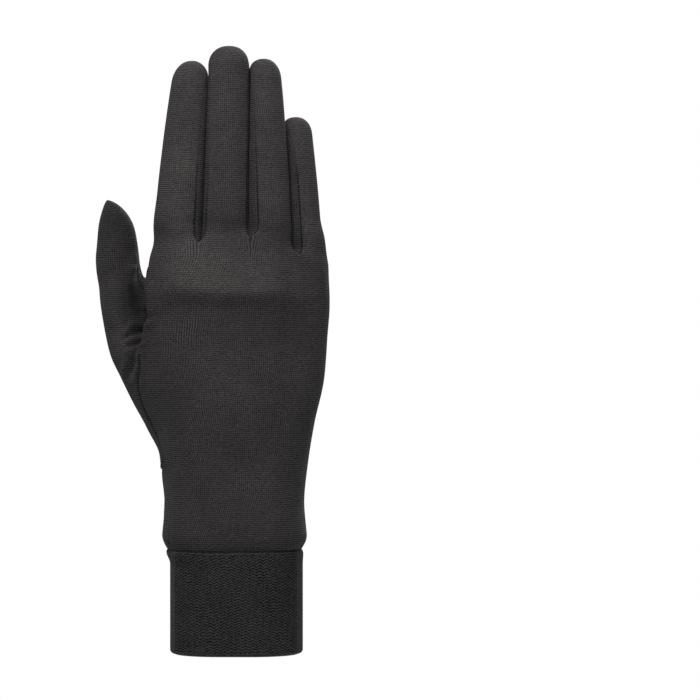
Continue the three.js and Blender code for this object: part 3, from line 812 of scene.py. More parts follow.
def relax(points, nets, weight, rounds):
    """Evens out the nets where the weight is above 0, all of them together."""
    first, index = weld(points)
    a, b = edge_pairs(index[quads_of(nets)])
    held = np.ones(len(first))
    np.minimum.at(held, index, weight)
    places, weight = points[first], held[:, None]
    count = np.bincount(np.concatenate([a, b]), minlength=len(places))[:, None]
    for _ in range(rounds):
        total = np.zeros_like(places)
        np.add.at(total, a, places[b])
        np.add.at(total, b, places[a])
        places = places + weight * (total / count - places)
    return places[index]


BASE_EVEN_RISE = 1.0
BASE_EVEN_SPAN = 5.0
WEB_CENTRE = np.array([-41.0, 8.0, WEB_TOP_Z])
WEB_EVEN_SPAN = 11.0
WEB_EVEN_HEIGHT = 8.0
WEB_EVEN_FROM = 4.0
LOOP_FOOT_X = -31.0
LOOP_FOOT_RISE = 4.0
LOOP_FOOT_SPAN = 9.0
EVEN_ROUNDS = 40


def uneven_places(points):
    """1 where the nets meet unevenly: at the finger bases, the thumb's web and the foot of its loop."""
    starts = [f["x"] for f in FINGERS]
    base = np.interp(points[:, 0], starts, [f["base"] for f in FINGERS])
    at_base = bell(points[:, 2] - base - BASE_EVEN_RISE, BASE_EVEN_SPAN)
    at_web = bell(np.linalg.norm(points - WEB_CENTRE, axis=1), WEB_EVEN_SPAN)
    beside_web = bell(points[:, 2] - WEB_TOP_Z, WEB_EVEN_HEIGHT) * (points[:, 1] > WEB_EVEN_FROM)
    from_foot = np.hypot(points[:, 0] - LOOP_FOOT_X, points[:, 2] - LOOP_BOTTOM - LOOP_FOOT_RISE)
    uneven = np.max([at_base, at_web, beside_web, bell(from_foot, LOOP_FOOT_SPAN)], axis=0)
    gussets = sum(net.shape[0] * net.shape[1] for node in FOURCHETTES for net in NETS[node])
    uneven[-gussets:] = 0
    return uneven


# The knit's fullness over the hand, which ends at a share of the hand's length, over so many millimetres
FULLNESS = dict(rise=0.35, end=0.9, over=24.0)
# Over so many millimetres above the joint, the relief and the fullness grow to their own size
JOINT_FADE = 10.0
# The hand swells a little over the cuff's joint, and hand and cuff both turn in at their edge
JOINT_SWELL = dict(rise=0.5, above=4.5, width=3.5)
HAND_TUCK = dict(depth=0.9, length=1.1)
CUFF_TUCK = dict(depth=0.6, length=0.8)
# The joint sags a little at the middle of the back and of the palm
JOINT_BOW = dict(back=0.3, palm=1.6, half_width=30, full_from=12, reach=14.0)
FACING_GAIN = 1.5
# The wales show where the knit faces straight back or forward by at least this much
WALES_FROM = 0.8
WALES_OVER = 0.15


def tuck_in(away, tuck):
    return tuck["depth"] * np.exp(-away / tuck["length"])


def joint_bow(points):
    """How far points near the joint move up, which is down at its middle."""
    middle = np.clip(1 - (points[:, 0] / JOINT_BOW["half_width"]) ** 2, 0, 1)
    depth = np.where(points[:, 1] < 0, JOINT_BOW["back"], JOINT_BOW["palm"])
    depth = depth * np.clip(np.abs(points[:, 1]) / JOINT_BOW["full_from"], 0, 1)
    return -depth * middle * bell(points[:, 2] - JOINT, JOINT_BOW["reach"])


def shape_nets():
    """Moves all the nets' points by the relief, together, so that shared seams stay shared.
    The finish holds the knit's stretch, which also carries a painted highlight, how far its wales show, and
    the painted shade in the thumb's fold."""
    order = list(NETS)
    nets = [net for node in order for net in NETS[node]]
    points = relax(flat(nets), nets, uneven_places(flat(nets)), EVEN_ROUNDS)
    normals = shared_normals(unflat(points, nets))
    back, palm = (smooth(side * normals[:, 1] * FACING_GAIN) for side in (-1, 1))
    offset = back * relief(points, BACK_MOUNDS, BACK_CREASES)
    offset += palm * relief(points, PALM_MOUNDS, PALM_CREASES)
    above = points[:, 2] - JOINT
    offset += soft_waves(points) * np.maximum(back, palm) * np.clip(above / JOINT_FADE, 0, 1)
    ended = smooth((above - HAND["length"] * FULLNESS["end"]) / FULLNESS["over"])
    offset += FULLNESS["rise"] * smooth(above / JOINT_FADE) * (1 - ended)
    offset += JOINT_SWELL["rise"] * bell(above - JOINT_SWELL["above"], JOINT_SWELL["width"])
    offset -= tuck_in(above, HAND_TUCK)
    points = points + normals * offset[:, None]
    points[:, 2] += joint_bow(points)
    wales = smooth((np.abs(normals[:, 1]) - WALES_FROM) / WALES_OVER)
    # The first column, the stretch, also carries a painted highlight; the last is painted shade in the
    # thumb's fold.
    finish = np.column_stack([back * stretch_and_highlight(points), wales, back * thumb_fold_shade_share(points)])
    shaped = [unflat(values, nets) for values in (points, finish, normals)]
    result, taken = {}, 0
    for node in order:
        part = slice(taken, taken + len(NETS[node]))
        result[node] = tuple(values[part] for values in shaped)
        taken = part.stop
    return result


SHAPED = shape_nets()


# Knit coordinates, in millimetres: u across the wales, v along them

FINGER_KNIT_WIDTH = 22.5
THUMB_KNIT_WIDTH = 64.0
FOURCHETTE_KNIT_WIDTH = 14.0


def rising_v(net, tip_start):
    """Height, and past the start of a tip the length along each column."""
    z = net[..., 2]
    steps = np.diff(z, axis=0)
    lengths = np.linalg.norm(np.diff(net, axis=0), axis=2)
    steps = np.where(z[1:] > tip_start, lengths, steps)
    return z[0] + np.concatenate([np.zeros((1, net.shape[1])), np.cumsum(steps, axis=0)])


def panel_uvs(side, nets):
    u = np.broadcast_to(FINGER_PLACES * FINGER_KNIT_WIDTH, nets[0].shape[:2])
    uvs = [np.stack([u, nets[0][..., 2]], -1)]
    for i, f in enumerate(FINGERS):
        first = i if side == "back" else 3 - i
        u = np.broadcast_to((first + FINGER_SHARES) * FINGER_KNIT_WIDTH, nets[i + 1].shape[:2])
        uvs.append(np.stack([u, rising_v(nets[i + 1], f["tip_start"])], -1))
    return uvs


def uvs_for(node, nets):
    """Knit coordinates of a node's nets. A strip's run along its middle."""
    if node == "back_panel":
        return panel_uvs("back", nets)
    if node == "palm_panel":
        return panel_uvs("palm", nets)
    if node == "thumb":
        u = np.broadcast_to(crowded(THUMB_COLUMNS) * THUMB_KNIT_WIDTH, nets[0].shape[:2])
        return [np.stack([u, rising_v(nets[0], THUMB_TIP_START)], -1)]
    u = crowded(PER_FOURCHETTE) * FOURCHETTE_KNIT_WIDTH
    v = run_along(nets[0][:, PER_FOURCHETTE // 2])
    return [np.stack(np.meshgrid(u, v), -1)]


# Seams: each sheet's edge is sunk, with a soft roll beside it

SEAM_SINK = 0.55
SEAM_SINK_WIDTH = 0.5
SEAM_ROLL = 0.2
SEAM_ROLL_PLACE = 1.5
SEAM_ROLL_WIDTH = 0.8
FAINT_SEAM = 0.25
FAINT_FROM = 200.0
FAINT_OVER = 22.0
TIP_SEAM_LENGTH = 6.0
SEAM_START = 1.0
SEAM_START_OVER = 3.0


def edge_distance(points, edges):
    """Distance of each point to the sheet's edges."""
    spots = []
    for a, b in edges:
        for t in (0.0, 0.34, 0.67):
            spots.append(mix(points[a], points[b], t))
    tree = kdtree.KDTree(len(spots))
    for k, spot in enumerate(spots):
        tree.insert(spot, k)
    tree.balance()
    return np.array([tree.find(p)[2] for p in points])


def seam_strength(points):
    """How deeply a seam draws in: less up the fingers, and not at all over their tips or at the joint."""
    x, z = points[:, 0], points[:, 2]
    tips = np.interp(x, [f["x"] for f in FINGERS], [f["tip"] for f in FINGERS])
    tips = np.where(x < THUMB_SIDE_X, THUMB["tip_height"], tips)
    near_tip = smooth((z - tips + TIP_SEAM_LENGTH) / TIP_SEAM_LENGTH)
    faint = smooth((z - FAINT_FROM) / FAINT_OVER)
    begun = smooth((z - JOINT - SEAM_START) / SEAM_START_OVER)
    return mix(1.0, FAINT_SEAM, faint) * (1 - near_tip) * begun


def kept_corners(quad):
    """Which corners of a face stay, where some of them fall together."""
    return [k for k in range(4) if quad[k] != quad[(k + 1) % 4]]


def open_edges(faces):
    """The edges that only one face has."""
    edges = {}
    for ring in faces:
        for a, b in zip(ring, ring[1:] + ring[:1]):
            if (b, a) in edges:
                del edges[(b, a)]
            else:
                edges[(a, b)] = True
    return list(edges)


def new_mesh(name, points, faces):
    """A smooth mesh from points in millimetres."""
    mesh = bpy.data.meshes.new(name)
    mesh.from_pydata((points * MM).tolist(), [], faces)
    mesh.polygons.foreach_set("use_smooth", np.ones(len(mesh.polygons), dtype=bool))
    mesh.update()
    return mesh


def give_attribute(mesh, name, values):
    attribute = mesh.attributes.new(name, "FLOAT", "POINT")
    attribute.data.foreach_set("value", values.astype(np.float32))


def sheet_mesh(name, nets, uvs, normals, finish):
    """One mesh from nets, welded, with sunk seams. Its faces look outward."""
    points, texture = flat(nets), flat(uvs)
    first, index = weld(points)
    raw_quads = quads_of(nets)
    places, facing, finish = points[first].copy(), flat(normals)[first], flat(finish)[first]
    faces, face_uv = [], []
    for quad, raw in zip(index[raw_quads].tolist(), raw_quads.tolist()):
        kept = kept_corners(quad)
        if len(kept) > 2:
            faces.append([quad[k] for k in kept])
            face_uv.extend(texture[raw[k]] for k in kept)
    distance = edge_distance(places, open_edges(faces))
    roll = SEAM_ROLL * bell(distance - SEAM_ROLL_PLACE, SEAM_ROLL_WIDTH)
    depth = (roll - SEAM_SINK * bell(distance, SEAM_SINK_WIDTH)) * seam_strength(places)
    mesh = new_mesh(name, places + facing * depth[:, None], faces)
    layer = mesh.uv_layers.new(name="UVMap")
    layer.data.foreach_set("uv", np.array(face_uv, dtype=np.float32).ravel())
    # stretch also carries a painted highlight, and the third attribute is painted shade in the fold beside
    # the thumb
    for k, label in enumerate(["stretch", "wales", "painted_fold_shade"]):
        give_attribute(mesh, label, finish[:, k])
    return mesh


def link_object(name, data):
    obj = bpy.data.objects.new(name, data)
    bpy.context.scene.collection.objects.link(obj)
    return obj


def add_object(name, mesh, material):
    mesh.materials.append(material)
    obj = link_object(name, mesh)
    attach(obj, "root")
    return obj


def add_wall(obj, wall):
    solid = obj.modifiers.new("wall", "SOLIDIFY")
    solid.thickness = wall * MM
    solid.offset = -1


# Materials


class Nodes:
    """Short names for building a material's nodes."""

    def __init__(self, name):
        self.material = bpy.data.materials.new(name)
        self.material.use_nodes = True
        self.tree = self.material.node_tree
        self.shader = self.tree.nodes["Principled BSDF"]

    def add(self, kind, **settings):
        node = self.tree.nodes.new("ShaderNode" + kind)
        for name, value in settings.items():
            setattr(node, name, value)
        return node

    def feed(self, socket, value):
        if isinstance(value, bpy.types.NodeSocket):
            self.tree.links.new(value, socket)
        else:
            socket.default_value = value

    def finish(self, **settings):
        """Feeds the shader's inputs, whose names are written with _ for a space."""
        for name, value in settings.items():
            self.feed(self.shader.inputs[name.replace("_", " ")], value)
        return self.material

    def place(self):
        return self.add("TexCoord").outputs["Object"]

    def attribute(self, name):
        return self.add("Attribute", attribute_name=name).outputs["Fac"]

    def math(self, operation, *values):
        node = self.add("Math", operation=operation)
        for socket, value in zip(node.inputs, values):
            self.feed(socket, value)
        return node.outputs[0]

    def times(self, a, b):
        return self.math("MULTIPLY", a, b)

    def plus(self, a, b):
        return self.math("ADD", a, b)

    def scaled(self, value, factor, offset):
        return self.math("MULTIPLY_ADD", value, factor, offset)

    def clamp(self, value):
        node = self.add("Clamp")
        self.feed(node.inputs[0], value)
        return node.outputs[0]

    def noise(self, vector, scale, detail=2.0):
        node = self.add("TexNoise")
        self.feed(node.inputs["Vector"], vector)
        node.inputs["Scale"].default_value = scale
        node.inputs["Detail"].default_value = detail
        return node.outputs["Factor"] if "Factor" in node.outputs else node.outputs["Fac"]

    def ramp(self, factor, stops):
        node = self.add("ValToRGB")
        elements = node.color_ramp.elements
        while len(elements) < len(stops):
            elements.new(0.5)
        for element, (place, colour) in zip(elements, stops):
            element.position = place
            element.color = (*colour, 1)
        self.feed(node.inputs[0], factor)
        return node.outputs["Color"]

    def mix(self, factor, a, b, blend="MIX"):
        node = self.add("Mix", data_type="RGBA", blend_type=blend)
        for socket, value in zip((node.inputs[0], node.inputs[6], node.inputs[7]), (factor, a, b)):
            self.feed(socket, value)
        return node.outputs[2]

    def tinted(self, share, colour, tint):
        """A colour multiplied by a tint, by a share."""
        return self.mix(share, colour, self.mix(1.0, colour, (*tint, 1), "MULTIPLY"))

    def bump(self, height, strength, distance):
        node = self.add("Bump")
        node.inputs["Strength"].default_value = strength
        node.inputs["Distance"].default_value = distance
        self.feed(node.inputs["Height"], height)
        return node.outputs["Normal"]


COURSE = 0.9
WALE = 0.92
# How far the middle of a wale's stitches hangs below their sides, in courses
COURSE_BEND = 0.35
# How far the knit's lines wander, across the wales and along them
WALE_DRIFT = 1.4
COURSE_DRIFT = -1.3
WALES_SHARE = 0.8
YARN_DARK = (0.0065, 0.006, 0.0062)
YARN_LIGHT = (0.0565, 0.052, 0.0545)
# The fourchettes' yarn, painted darker than the panels': painted shade between the fingers
GUSSET_SHADED_DARK = (0.0046, 0.0043, 0.0045)
GUSSET_SHADED_LIGHT = (0.044, 0.0405, 0.0425)
# The colour is multiplied by one of these where the knit is stretched, partly for the stretch and partly as
# a painted highlight, and by the other as painted shade in the fold beside the thumb
STRETCH_AND_HIGHLIGHT_TINT = (1.97, 1.94, 1.86)
FOLD_SHADE_TINT = (0.18, 0.18, 0.19)
RIB_DARK = (0.0038, 0.0038, 0.0038)
RIB_LIGHT = (0.049, 0.049, 0.049)
# Slightly darker and lighter patches, by which the yarn's colour is multiplied
PATCH_DARK = (0.85, 0.85, 0.86)
JERSEY_PATCH_LIGHT = (1.1, 1.1, 1.09)
RIB_PATCH_LIGHT = (1.1, 1.1, 1.1)
# How fine each noise is, per metre
JERSEY_NOISE = dict(drift=160.0, uneven=95.0, fuzz=2600.0, grain=1100.0, patch=45.0)
RIB_NOISE = dict(fuzz=3600.0, grain=1000.0, patch=60.0)
THREAD_TWIST = 4200.0
LINT = dict(scale=130.0, size=0.035, strength=0.5, colour=(0.16, 0.16, 0.16, 1))
JERSEY_FINISH = dict(bump=0.0002, roughness=0.84, specular=0.12, sheen=0.04)
RIB_FINISH = dict(bump=0.00025, roughness=0.82, specular=0.1, sheen=0.03)


def patched(n, yarn, place, scale, light):
    patch = n.ramp(n.noise(place, scale, 3.0), [(0.3, PATCH_DARK), (0.7, light)])
    return n.mix(1.0, yarn, patch, "MULTIPLY")


def knit_finish(n, colour, height, fuzz, bump, roughness, specular, sheen):
    """Dull yarn with a little sheen, a little rougher where its fuzz stands up."""
    return n.finish(
        Base_Color=colour,
        Normal=n.bump(height, 0.5, bump),
        Roughness=n.scaled(fuzz, 0.12, roughness),
        Specular_IOR_Level=specular,
        Sheen_Weight=sheen,
        Sheen_Roughness=0.5,
    )


def jersey_material(name, dark, light):
    """A fine single jersey. Courses show where it lies loose, wales where it is drawn over the hand. Its
    colour carries a painted highlight where the knit is stretched, besides its real paleness there, and
    painted shade in the fold beside the thumb.
    """
    n = Nodes(name)
    place = n.place()
    split = n.add("SeparateXYZ")
    n.feed(split.inputs[0], n.add("UVMap", uv_map="UVMap").outputs[0])
    drift = n.math("SUBTRACT", n.noise(place, JERSEY_NOISE["drift"], 3.0), 0.5)
    u = n.plus(split.outputs["X"], n.times(drift, WALE_DRIFT))
    v = n.plus(split.outputs["Y"], n.times(drift, COURSE_DRIFT))
    # Each wale is a column of small Vs: side is 0 at its middle and 1 where two wales meet
    part = n.math("FRACT", n.math("DIVIDE", u, WALE))
    side = n.times(n.math("ABSOLUTE", n.math("SUBTRACT", part, 0.5)), 2.0)
    turn = n.plus(n.math("DIVIDE", v, COURSE), n.times(side, COURSE_BEND))
    course = n.scaled(n.math("SINE", n.times(turn, 2 * math.pi)), 0.5, 0.5)
    wale = n.scaled(n.math("COSINE", n.times(side, math.pi)), 0.5, 0.5)
    uneven = n.scaled(n.noise(place, JERSEY_NOISE["uneven"]), 2.4, -0.75)
    drawn = n.times(n.clamp(n.times(n.attribute("wales"), uneven)), WALES_SHARE)
    rows = n.times(course, n.math("SUBTRACT", 1.0, drawn))
    stitch = n.plus(rows, n.times(wale, drawn))
    fuzz = n.noise(place, JERSEY_NOISE["fuzz"])
    height = n.plus(stitch, n.times(fuzz, 0.5))
    tone = n.plus(stitch, n.math("SUBTRACT", n.noise(place, JERSEY_NOISE["grain"]), 0.5))
    yarn = n.ramp(tone, [(0.0, dark), (1.0, light)])
    shade = patched(n, yarn, place, JERSEY_NOISE["patch"], JERSEY_PATCH_LIGHT)
    # The stretched knit is lightened, partly a painted highlight, and the fold beside the thumb darkened as
    # painted shade
    shade = n.tinted(n.attribute("stretch"), shade, STRETCH_AND_HIGHLIGHT_TINT)
    shade = n.tinted(n.attribute("painted_fold_shade"), shade, FOLD_SHADE_TINT)
    # A few specks of lint
    cells = n.add("TexVoronoi")
    n.feed(cells.inputs["Vector"], place)
    cells.inputs["Scale"].default_value = LINT["scale"]
    speck = n.math("LESS_THAN", cells.outputs["Distance"], LINT["size"])
    shade = n.mix(n.times(speck, LINT["strength"]), shade, LINT["colour"])
    return knit_finish(n, shade, height, fuzz, **JERSEY_FINISH)


def rib_material():
    n = Nodes("rib_knit")
    place = n.place()
    fuzz = n.noise(place, RIB_NOISE["fuzz"], 3.0)
    grain = n.scaled(n.noise(place, RIB_NOISE["grain"]), 1.4, -0.7)
    yarn = n.ramp(n.plus(n.attribute("high"), grain), [(0.1, RIB_DARK), (0.9, RIB_LIGHT)])
    shade = patched(n, yarn, place, RIB_NOISE["patch"], RIB_PATCH_LIGHT)
    return knit_finish(n, shade, fuzz, fuzz, **RIB_FINISH)


def thread_material(name, dark, light):
    n = Nodes(name)
    twist = n.noise(n.place(), THREAD_TWIST, 1.0)
    return n.finish(
        Base_Color=n.ramp(twist, [(0.3, dark), (0.7, light)]),
        Normal=n.bump(twist, 0.4, 0.0001),
        Roughness=0.6,
        Specular_IOR_Level=0.2,
    )


JERSEY = jersey_material("jersey", YARN_DARK, YARN_LIGHT)
# A darker copy of the jersey for the fourchettes: painted shade between the fingers
GUSSET_SHADED_JERSEY = jersey_material("gusset_jersey_painted_shade", GUSSET_SHADED_DARK, GUSSET_SHADED_LIGHT)
RIB = rib_material()
# One thread in two colours: darker where it is sunk into the seams, a painted shade, and lighter where it
# stands on them, a painted highlight
SUNK_THREAD_SHADED = thread_material("sunk_thread_painted_shade", (0.004, 0.004, 0.004), (0.009, 0.009, 0.009))
RAISED_THREAD_LIT = thread_material("raised_thread_painted_highlight", (0.055, 0.053, 0.054), (0.1, 0.096, 0.098))

for node, (nets, finish, normals) in SHAPED.items():
    mesh = sheet_mesh(node + "_knit", nets, uvs_for(node, nets), normals, finish)
    # The fourchettes take the darker jersey, painted shade between the fingers
    obj = add_object(node + "_knit", mesh, GUSSET_SHADED_JERSEY if node in FOURCHETTES else JERSEY)
    add_wall(obj, FABRIC_WALL)
    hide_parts(node)


# Stitches: short rounded lengths of thread laid along or across the seams

STITCH_SIDES = 6
STITCH_RINGS = [(-1.0, 0.25), (-0.8, 0.75), (-0.3, 1.0), (0.3, 1.0), (0.8, 0.75), (1.0, 0.25)]
SUNK_STITCH = dict(pitch=1.75, length=1.15, radius=0.26, lift=-0.32)
THUMB_OUTER_STITCH = dict(pitch=1.5, length=1.9, radius=0.3, lift=0.12, slant=50.0, offset=0.8)
THUMB_INNER_STITCH = dict(pitch=1.5, length=1.5, radius=0.26, lift=-0.15, slant=-35.0, offset=-0.7)
THUMB_BACK_STITCH = dict(pitch=1.75, length=1.15, radius=0.24, lift=-0.3)
SIDE_STITCH = dict(pitch=1.9, length=1.5, radius=0.18, lift=-0.12)
JOINT_STITCH = dict(pitch=1.5, length=1.6, radius=0.24, lift=0.3, slant=62.0)
GUSSET_STITCH_TOPS = [200.0, 222.0, 214.0]
SIDE_SEWN_ABOVE = 4.0
# The overlock runs between these places on x, along this row of the palm's net
JOINT_SEWN = [-22.0, 8.0]
JOINT_SEWN_ROW = 1


def unit(v):
    return v / np.maximum(np.linalg.norm(v, axis=1, keepdims=True), 1e-9)


def stitches(line, normals, pitch, length, radius, lift, slant=0.0, offset=0.0):
    """Points and faces of one row of stitches along a line.
    slant turns each one from the line, in degrees, and offset moves the row sideways."""
    run = run_along(line)
    centres = np.arange(pitch / 2, run[-1], pitch)

    def at(values, where):
        return np.stack([np.interp(where, run, values[:, k]) for k in range(3)], axis=1)

    out = unit(at(normals, centres))
    ahead = unit(at(line, centres + 0.4) - at(line, centres - 0.4))
    aside = unit(np.cross(out, ahead))
    turn = math.radians(slant)
    along = ahead * math.cos(turn) + aside * math.sin(turn)
    wide = unit(np.cross(out, along))
    middle = at(line, centres) + out * lift + aside * offset
    points = []
    for share, swell in STITCH_RINGS:
        for angle in np.arange(STITCH_SIDES) * 2 * math.pi / STITCH_SIDES:
            spread = wide * math.cos(angle) + out * math.sin(angle)
            points.append(middle + along * (share * length / 2) + spread * (radius * swell))
    count = len(STITCH_RINGS) * STITCH_SIDES
    ring = np.arange(STITCH_SIDES)
    after = (ring + 1) % STITCH_SIDES
    faces = []
    for start in range(0, len(centres) * count, count):
        for low in range(start, start + count - STITCH_SIDES, STITCH_SIDES):
            high = low + STITCH_SIDES
            faces += np.stack([low + ring, low + after, high + after, high + ring], axis=1).tolist()
        faces.append((start + ring[::-1]).tolist())
        faces.append((start + count - STITCH_SIDES + ring).tolist())
    return np.stack(points, axis=1).reshape(-1, 3), faces


def add_stitches(name, rows, material):
    """One object of several rows of stitches."""
    points, faces, offset = [], [], 0
    for row_points, row_faces in rows:
        points.append(row_points)
        faces += [[v + offset for v in face] for face in row_faces]
        offset += len(row_points)
    add_object(name, new_mesh(name, np.concatenate(points), faces), material)


def column_heights(node, column):
    return SHAPED[node][0][0][:, column, 2]


def sewn(node, column, kept, stitch):
    """A row of stitches along a column of a node's first net, where it is kept."""
    nets, _, normals = SHAPED[node]
    return stitches(nets[0][kept, column], normals[0][kept, column], **stitch)


def sew_gussets():
    rows = []
    for node, top in zip(FOURCHETTES, GUSSET_STITCH_TOPS):
        for column in (0, -1):
            rows.append(sewn(node, column, column_heights(node, column) < top, SUNK_STITCH))
    add_stitches("gusset_threads", rows, SUNK_THREAD_SHADED)


def sew_thumb():
    """Two slanting rows round the palm side of the thumb's seam, and a plain row on its back."""
    low = column_heights("thumb", 0) < WEB_TOP_Z - 1
    rows = [sewn("thumb", 0, low, stitch) for stitch in (THUMB_OUTER_STITCH, THUMB_INNER_STITCH)]
    add_stitches("thumb_palm_threads", rows, RAISED_THREAD_LIT)
    add_stitches("thumb_back_threads", [sewn("thumb", -1, low, THUMB_BACK_STITCH)], SUNK_THREAD_SHADED)


def sew_sides():
    rows = []
    for column, top in ((0, LOOP_BOTTOM), (-1, math.inf)):
        z = column_heights("back_panel", column)
        rows.append(sewn("back_panel", column, (z > JOINT + SIDE_SEWN_ABOVE) & (z < top), SIDE_STITCH))
    add_stitches("side_threads", rows, RAISED_THREAD_LIT)


def sew_joint():
    """The overlock along the palm's cuff joint, where its loops show below the thumb."""
    nets, _, normals = SHAPED["palm_panel"]
    line, facing = nets[0][JOINT_SEWN_ROW], normals[0][JOINT_SEWN_ROW]
    kept = (line[:, 0] > JOINT_SEWN[0]) & (line[:, 0] < JOINT_SEWN[1])
    add_stitches("joint_threads", [stitches(line[kept], facing[kept], **JOINT_STITCH)], RAISED_THREAD_LIT)


sew_gussets()
sew_thumb()
sew_sides()
sew_joint()


# The cuff: a zigzag rib knitted round, plain at its two sides, folded in at its mouth

RIB_ROW = 1.2
RIB_STEPS = 4
ZIGZAG = 3.0
ZIGZAG_STEPS = 8
ZIGZAG_HEIGHT = 0.5
RIB_RISE = 0.24
CUFF_ROUND = 160.0
# The relief fades out at both ends of the cuff, over so many millimetres
RIB_FADE = 2.5
# The rib turns plain at this share of the half width
PLAIN_FROM = 0.9
PLAIN_OVER = 0.05
INNER_HEIGHTS = [JOINT, JOINT * 0.7, JOINT * 0.4, 6.0, 2.4, 1.2, 0.6]
LIP_DROP = 0.25


def build_cuff():
    """The cuff's outer and inner face as nets, and how high the rib stands on the outer one."""
    half_periods = round(CUFF_ROUND / 2 / ZIGZAG)
    shares = np.linspace(0, 1, half_periods * ZIGZAG_STEPS + 1)
    heights = np.linspace(0, JOINT, round(JOINT / RIB_ROW * RIB_STEPS) + 1)
    outer = np.array([cuff_row(z, shares) for z in heights])
    columns = np.arange(outer.shape[1])
    normals = shared_normals([outer]).reshape(outer.shape)
    within = np.clip(np.minimum(heights / RIB_FADE, (JOINT - heights) / RIB_FADE), 0, 1)[:, None]
    saw = np.abs((columns / ZIGZAG_STEPS) % 1 - 0.5) * 2
    plain = smooth((np.abs(outer[..., 0]) / (CUFF["width"] / 2) - PLAIN_FROM) / PLAIN_OVER)
    # Slow waves make some zigzags taller than others and let the rows wander
    across, up = columns[None, :] / ZIGZAG_STEPS, heights[:, None]
    lively = 1 + 0.45 * np.sin(across * 0.83 + up * 0.35) * np.sin(across * 0.31 - up * 0.21)
    drift = 0.3 * np.sin(across * 0.47 + up * 0.13) + 0.18 * np.sin(across * 1.21 - up * 0.31)
    zig = ((saw[None, :] - 0.5) * ZIGZAG_HEIGHT * 2 * lively + drift) * within * (1 - plain)
    rows = np.cos(np.arange(len(heights)) * 2 * math.pi / RIB_STEPS)[:, None]
    wales = np.cos(columns * 2 * math.pi / (ZIGZAG_STEPS / 2))[None, :]
    high = mix(rows * (0.75 + 0.25 * wales), 0.4 + 0.5 * wales, plain)
    outer = outer + normals * (RIB_RISE * high * np.minimum(within + 0.3, 1))[..., None]
    outer[..., 2] += zig
    outer -= normals * tuck_in(JOINT - heights, CUFF_TUCK)[:, None, None]
    outer[..., 2] += joint_bow(outer.reshape(-1, 3)).reshape(outer.shape[:2])
    picked = [int(np.argmin(np.abs(heights - z))) for z in INNER_HEIGHTS]
    inner = np.array([cuff_row(z, shares) for z in heights[picked]])
    inner = inner + shared_normals([inner]).reshape(inner.shape) * CUFF["wall"]
    return outer, inner, high


def cuff_mesh():
    """The cuff as one closed wall: down its inner face, round the lip and up its outer face."""
    outer, inner, high = build_cuff()
    lip = mix(inner[-1], outer[0], 0.5)
    lip[:, 2] = -LIP_DROP
    closed = np.concatenate([inner, lip[None], outer, inner[:1]])
    # The inner face and the lip take the rib's darkest tone, darker than the same yarn outside: painted
    # shade inside the cuff
    inside_darkest = np.zeros((1, outer.shape[1]))
    shade = np.concatenate([np.repeat(inside_darkest, len(inner) + 1, axis=0), (high + 1) / 2, inside_darkest])
    first, index = weld(closed.reshape(-1, 3))
    rings = [[quad[k] for k in kept_corners(quad)] for quad in index[quads_of([closed])].tolist()]
    rings = [ring for ring in rings if len(ring) > 2]
    mesh = new_mesh("cuff_knit", closed.reshape(-1, 3)[first], rings)
    give_attribute(mesh, "high", shade.reshape(-1)[first])
    return mesh


cuff_object = add_object("cuff_knit", cuff_mesh(), RIB)
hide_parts("cuff")

# Floor, light and camera

FLOOR_DROP = 0.45
FLOOR_RADIUS = 3.0
FLOOR_SIDES = 64
FLOOR_WHITE = (0.92, 0.92, 0.92, 1)
FLOOR_ROUGHNESS = 0.9


def build_floor():
    mesh = bpy.data.meshes.new("floor")
    angles = np.arange(FLOOR_SIDES) * 2 * math.pi / FLOOR_SIDES
    ring = [(FLOOR_RADIUS * math.cos(a), FLOOR_RADIUS * math.sin(a), -FLOOR_DROP) for a in angles]
    mesh.from_pydata(ring, [], [list(range(FLOOR_SIDES))])
    mesh.materials.append(Nodes("floor_paper").finish(Base_Color=FLOOR_WHITE, Roughness=FLOOR_ROUGHNESS))
    link_object("floor", mesh)


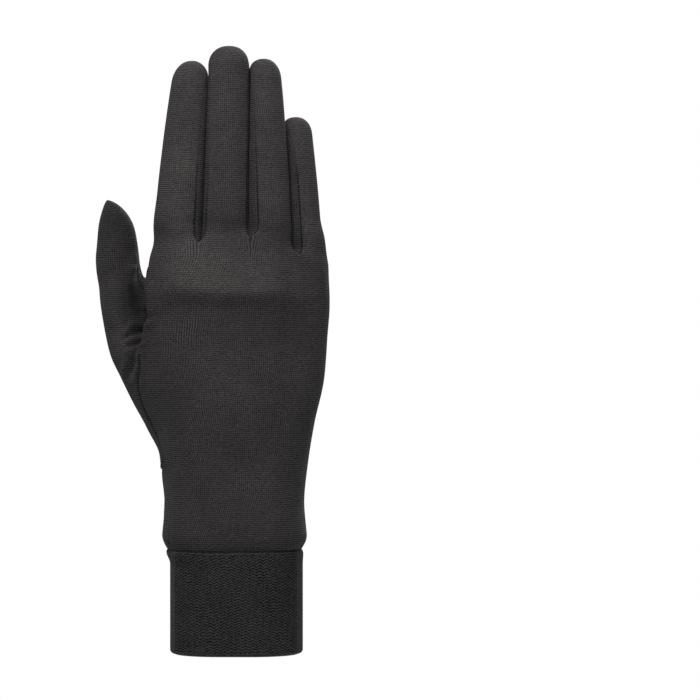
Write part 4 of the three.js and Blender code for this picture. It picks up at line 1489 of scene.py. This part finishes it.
# The lights' places and sizes are in metres
LIGHT_AIM = (0, 0, 0.15)
KEY_LIGHT = dict(place=(-0.12, -0.62, 1.3), size=0.5, power=17)
FILL_LIGHT = dict(place=(0.5, 1.4, 1.2), size=1.0, power=26)
ROOM_LIGHT = 0.24
BACKGROUND_WHITE = 1.0


def area_light(name, place, size, power):
    light = bpy.data.lights.new(name, "AREA")
    light.shape = "DISK"
    light.size = size
    light.energy = power
    obj = link_object(name, light)
    obj.location = place
    obj.rotation_euler = (Vector(LIGHT_AIM) - Vector(place)).to_track_quat("-Z", "Y").to_euler()


def build_light():
    """Soft light from the room, a white background for the camera alone, and two lamps."""
    world = bpy.data.worlds.new("studio")
    world.use_nodes = True
    tree = world.node_tree
    room, white = tree.nodes["Background"], tree.nodes.new("ShaderNodeBackground")
    for background, strength in ((room, ROOM_LIGHT), (white, BACKGROUND_WHITE)):
        background.inputs["Strength"].default_value = strength
        background.inputs["Color"].default_value = (1, 1, 1, 1)
    path = tree.nodes.new("ShaderNodeLightPath")
    choose = tree.nodes.new("ShaderNodeMixShader")
    sources = (path.outputs["Is Camera Ray"], room.outputs[0], white.outputs[0])
    for source, socket in zip(sources, choose.inputs):
        tree.links.new(source, socket)
    tree.links.new(choose.outputs[0], tree.nodes["World Output"].inputs["Surface"])
    bpy.context.scene.world = world
    area_light("key", **KEY_LIGHT)
    area_light("fill", **FILL_LIGHT)


# The photograph's frame: the column of the cuff's centre and the row of its mouth, in pixels
MM_PER_PIXEL = 0.4355
FRAME_PIXELS = 700
CUFF_COLUMN = 236.5
MOUTH_ROW = 653.1
LENS = 200.0
SENSOR = 36.0
FAR_LIMIT = 20


def build_camera():
    camera = bpy.data.cameras.new("camera")
    camera.lens = LENS
    camera.sensor_width = SENSOR
    camera.clip_end = FAR_LIMIT
    pixel = MM_PER_PIXEL * MM
    distance = FRAME_PIXELS * pixel * LENS / SENSOR
    x, z = (FRAME_PIXELS / 2 - CUFF_COLUMN) * pixel, (MOUTH_ROW - FRAME_PIXELS / 2) * pixel
    obj = link_object("camera", camera)
    obj.location = (x, -distance, z)
    obj.rotation_euler = (math.pi / 2, 0, 0)
    bpy.context.scene.camera = obj


build_floor()
build_light()
build_camera()
bpy.context.scene.view_settings.view_transform = "Standard"
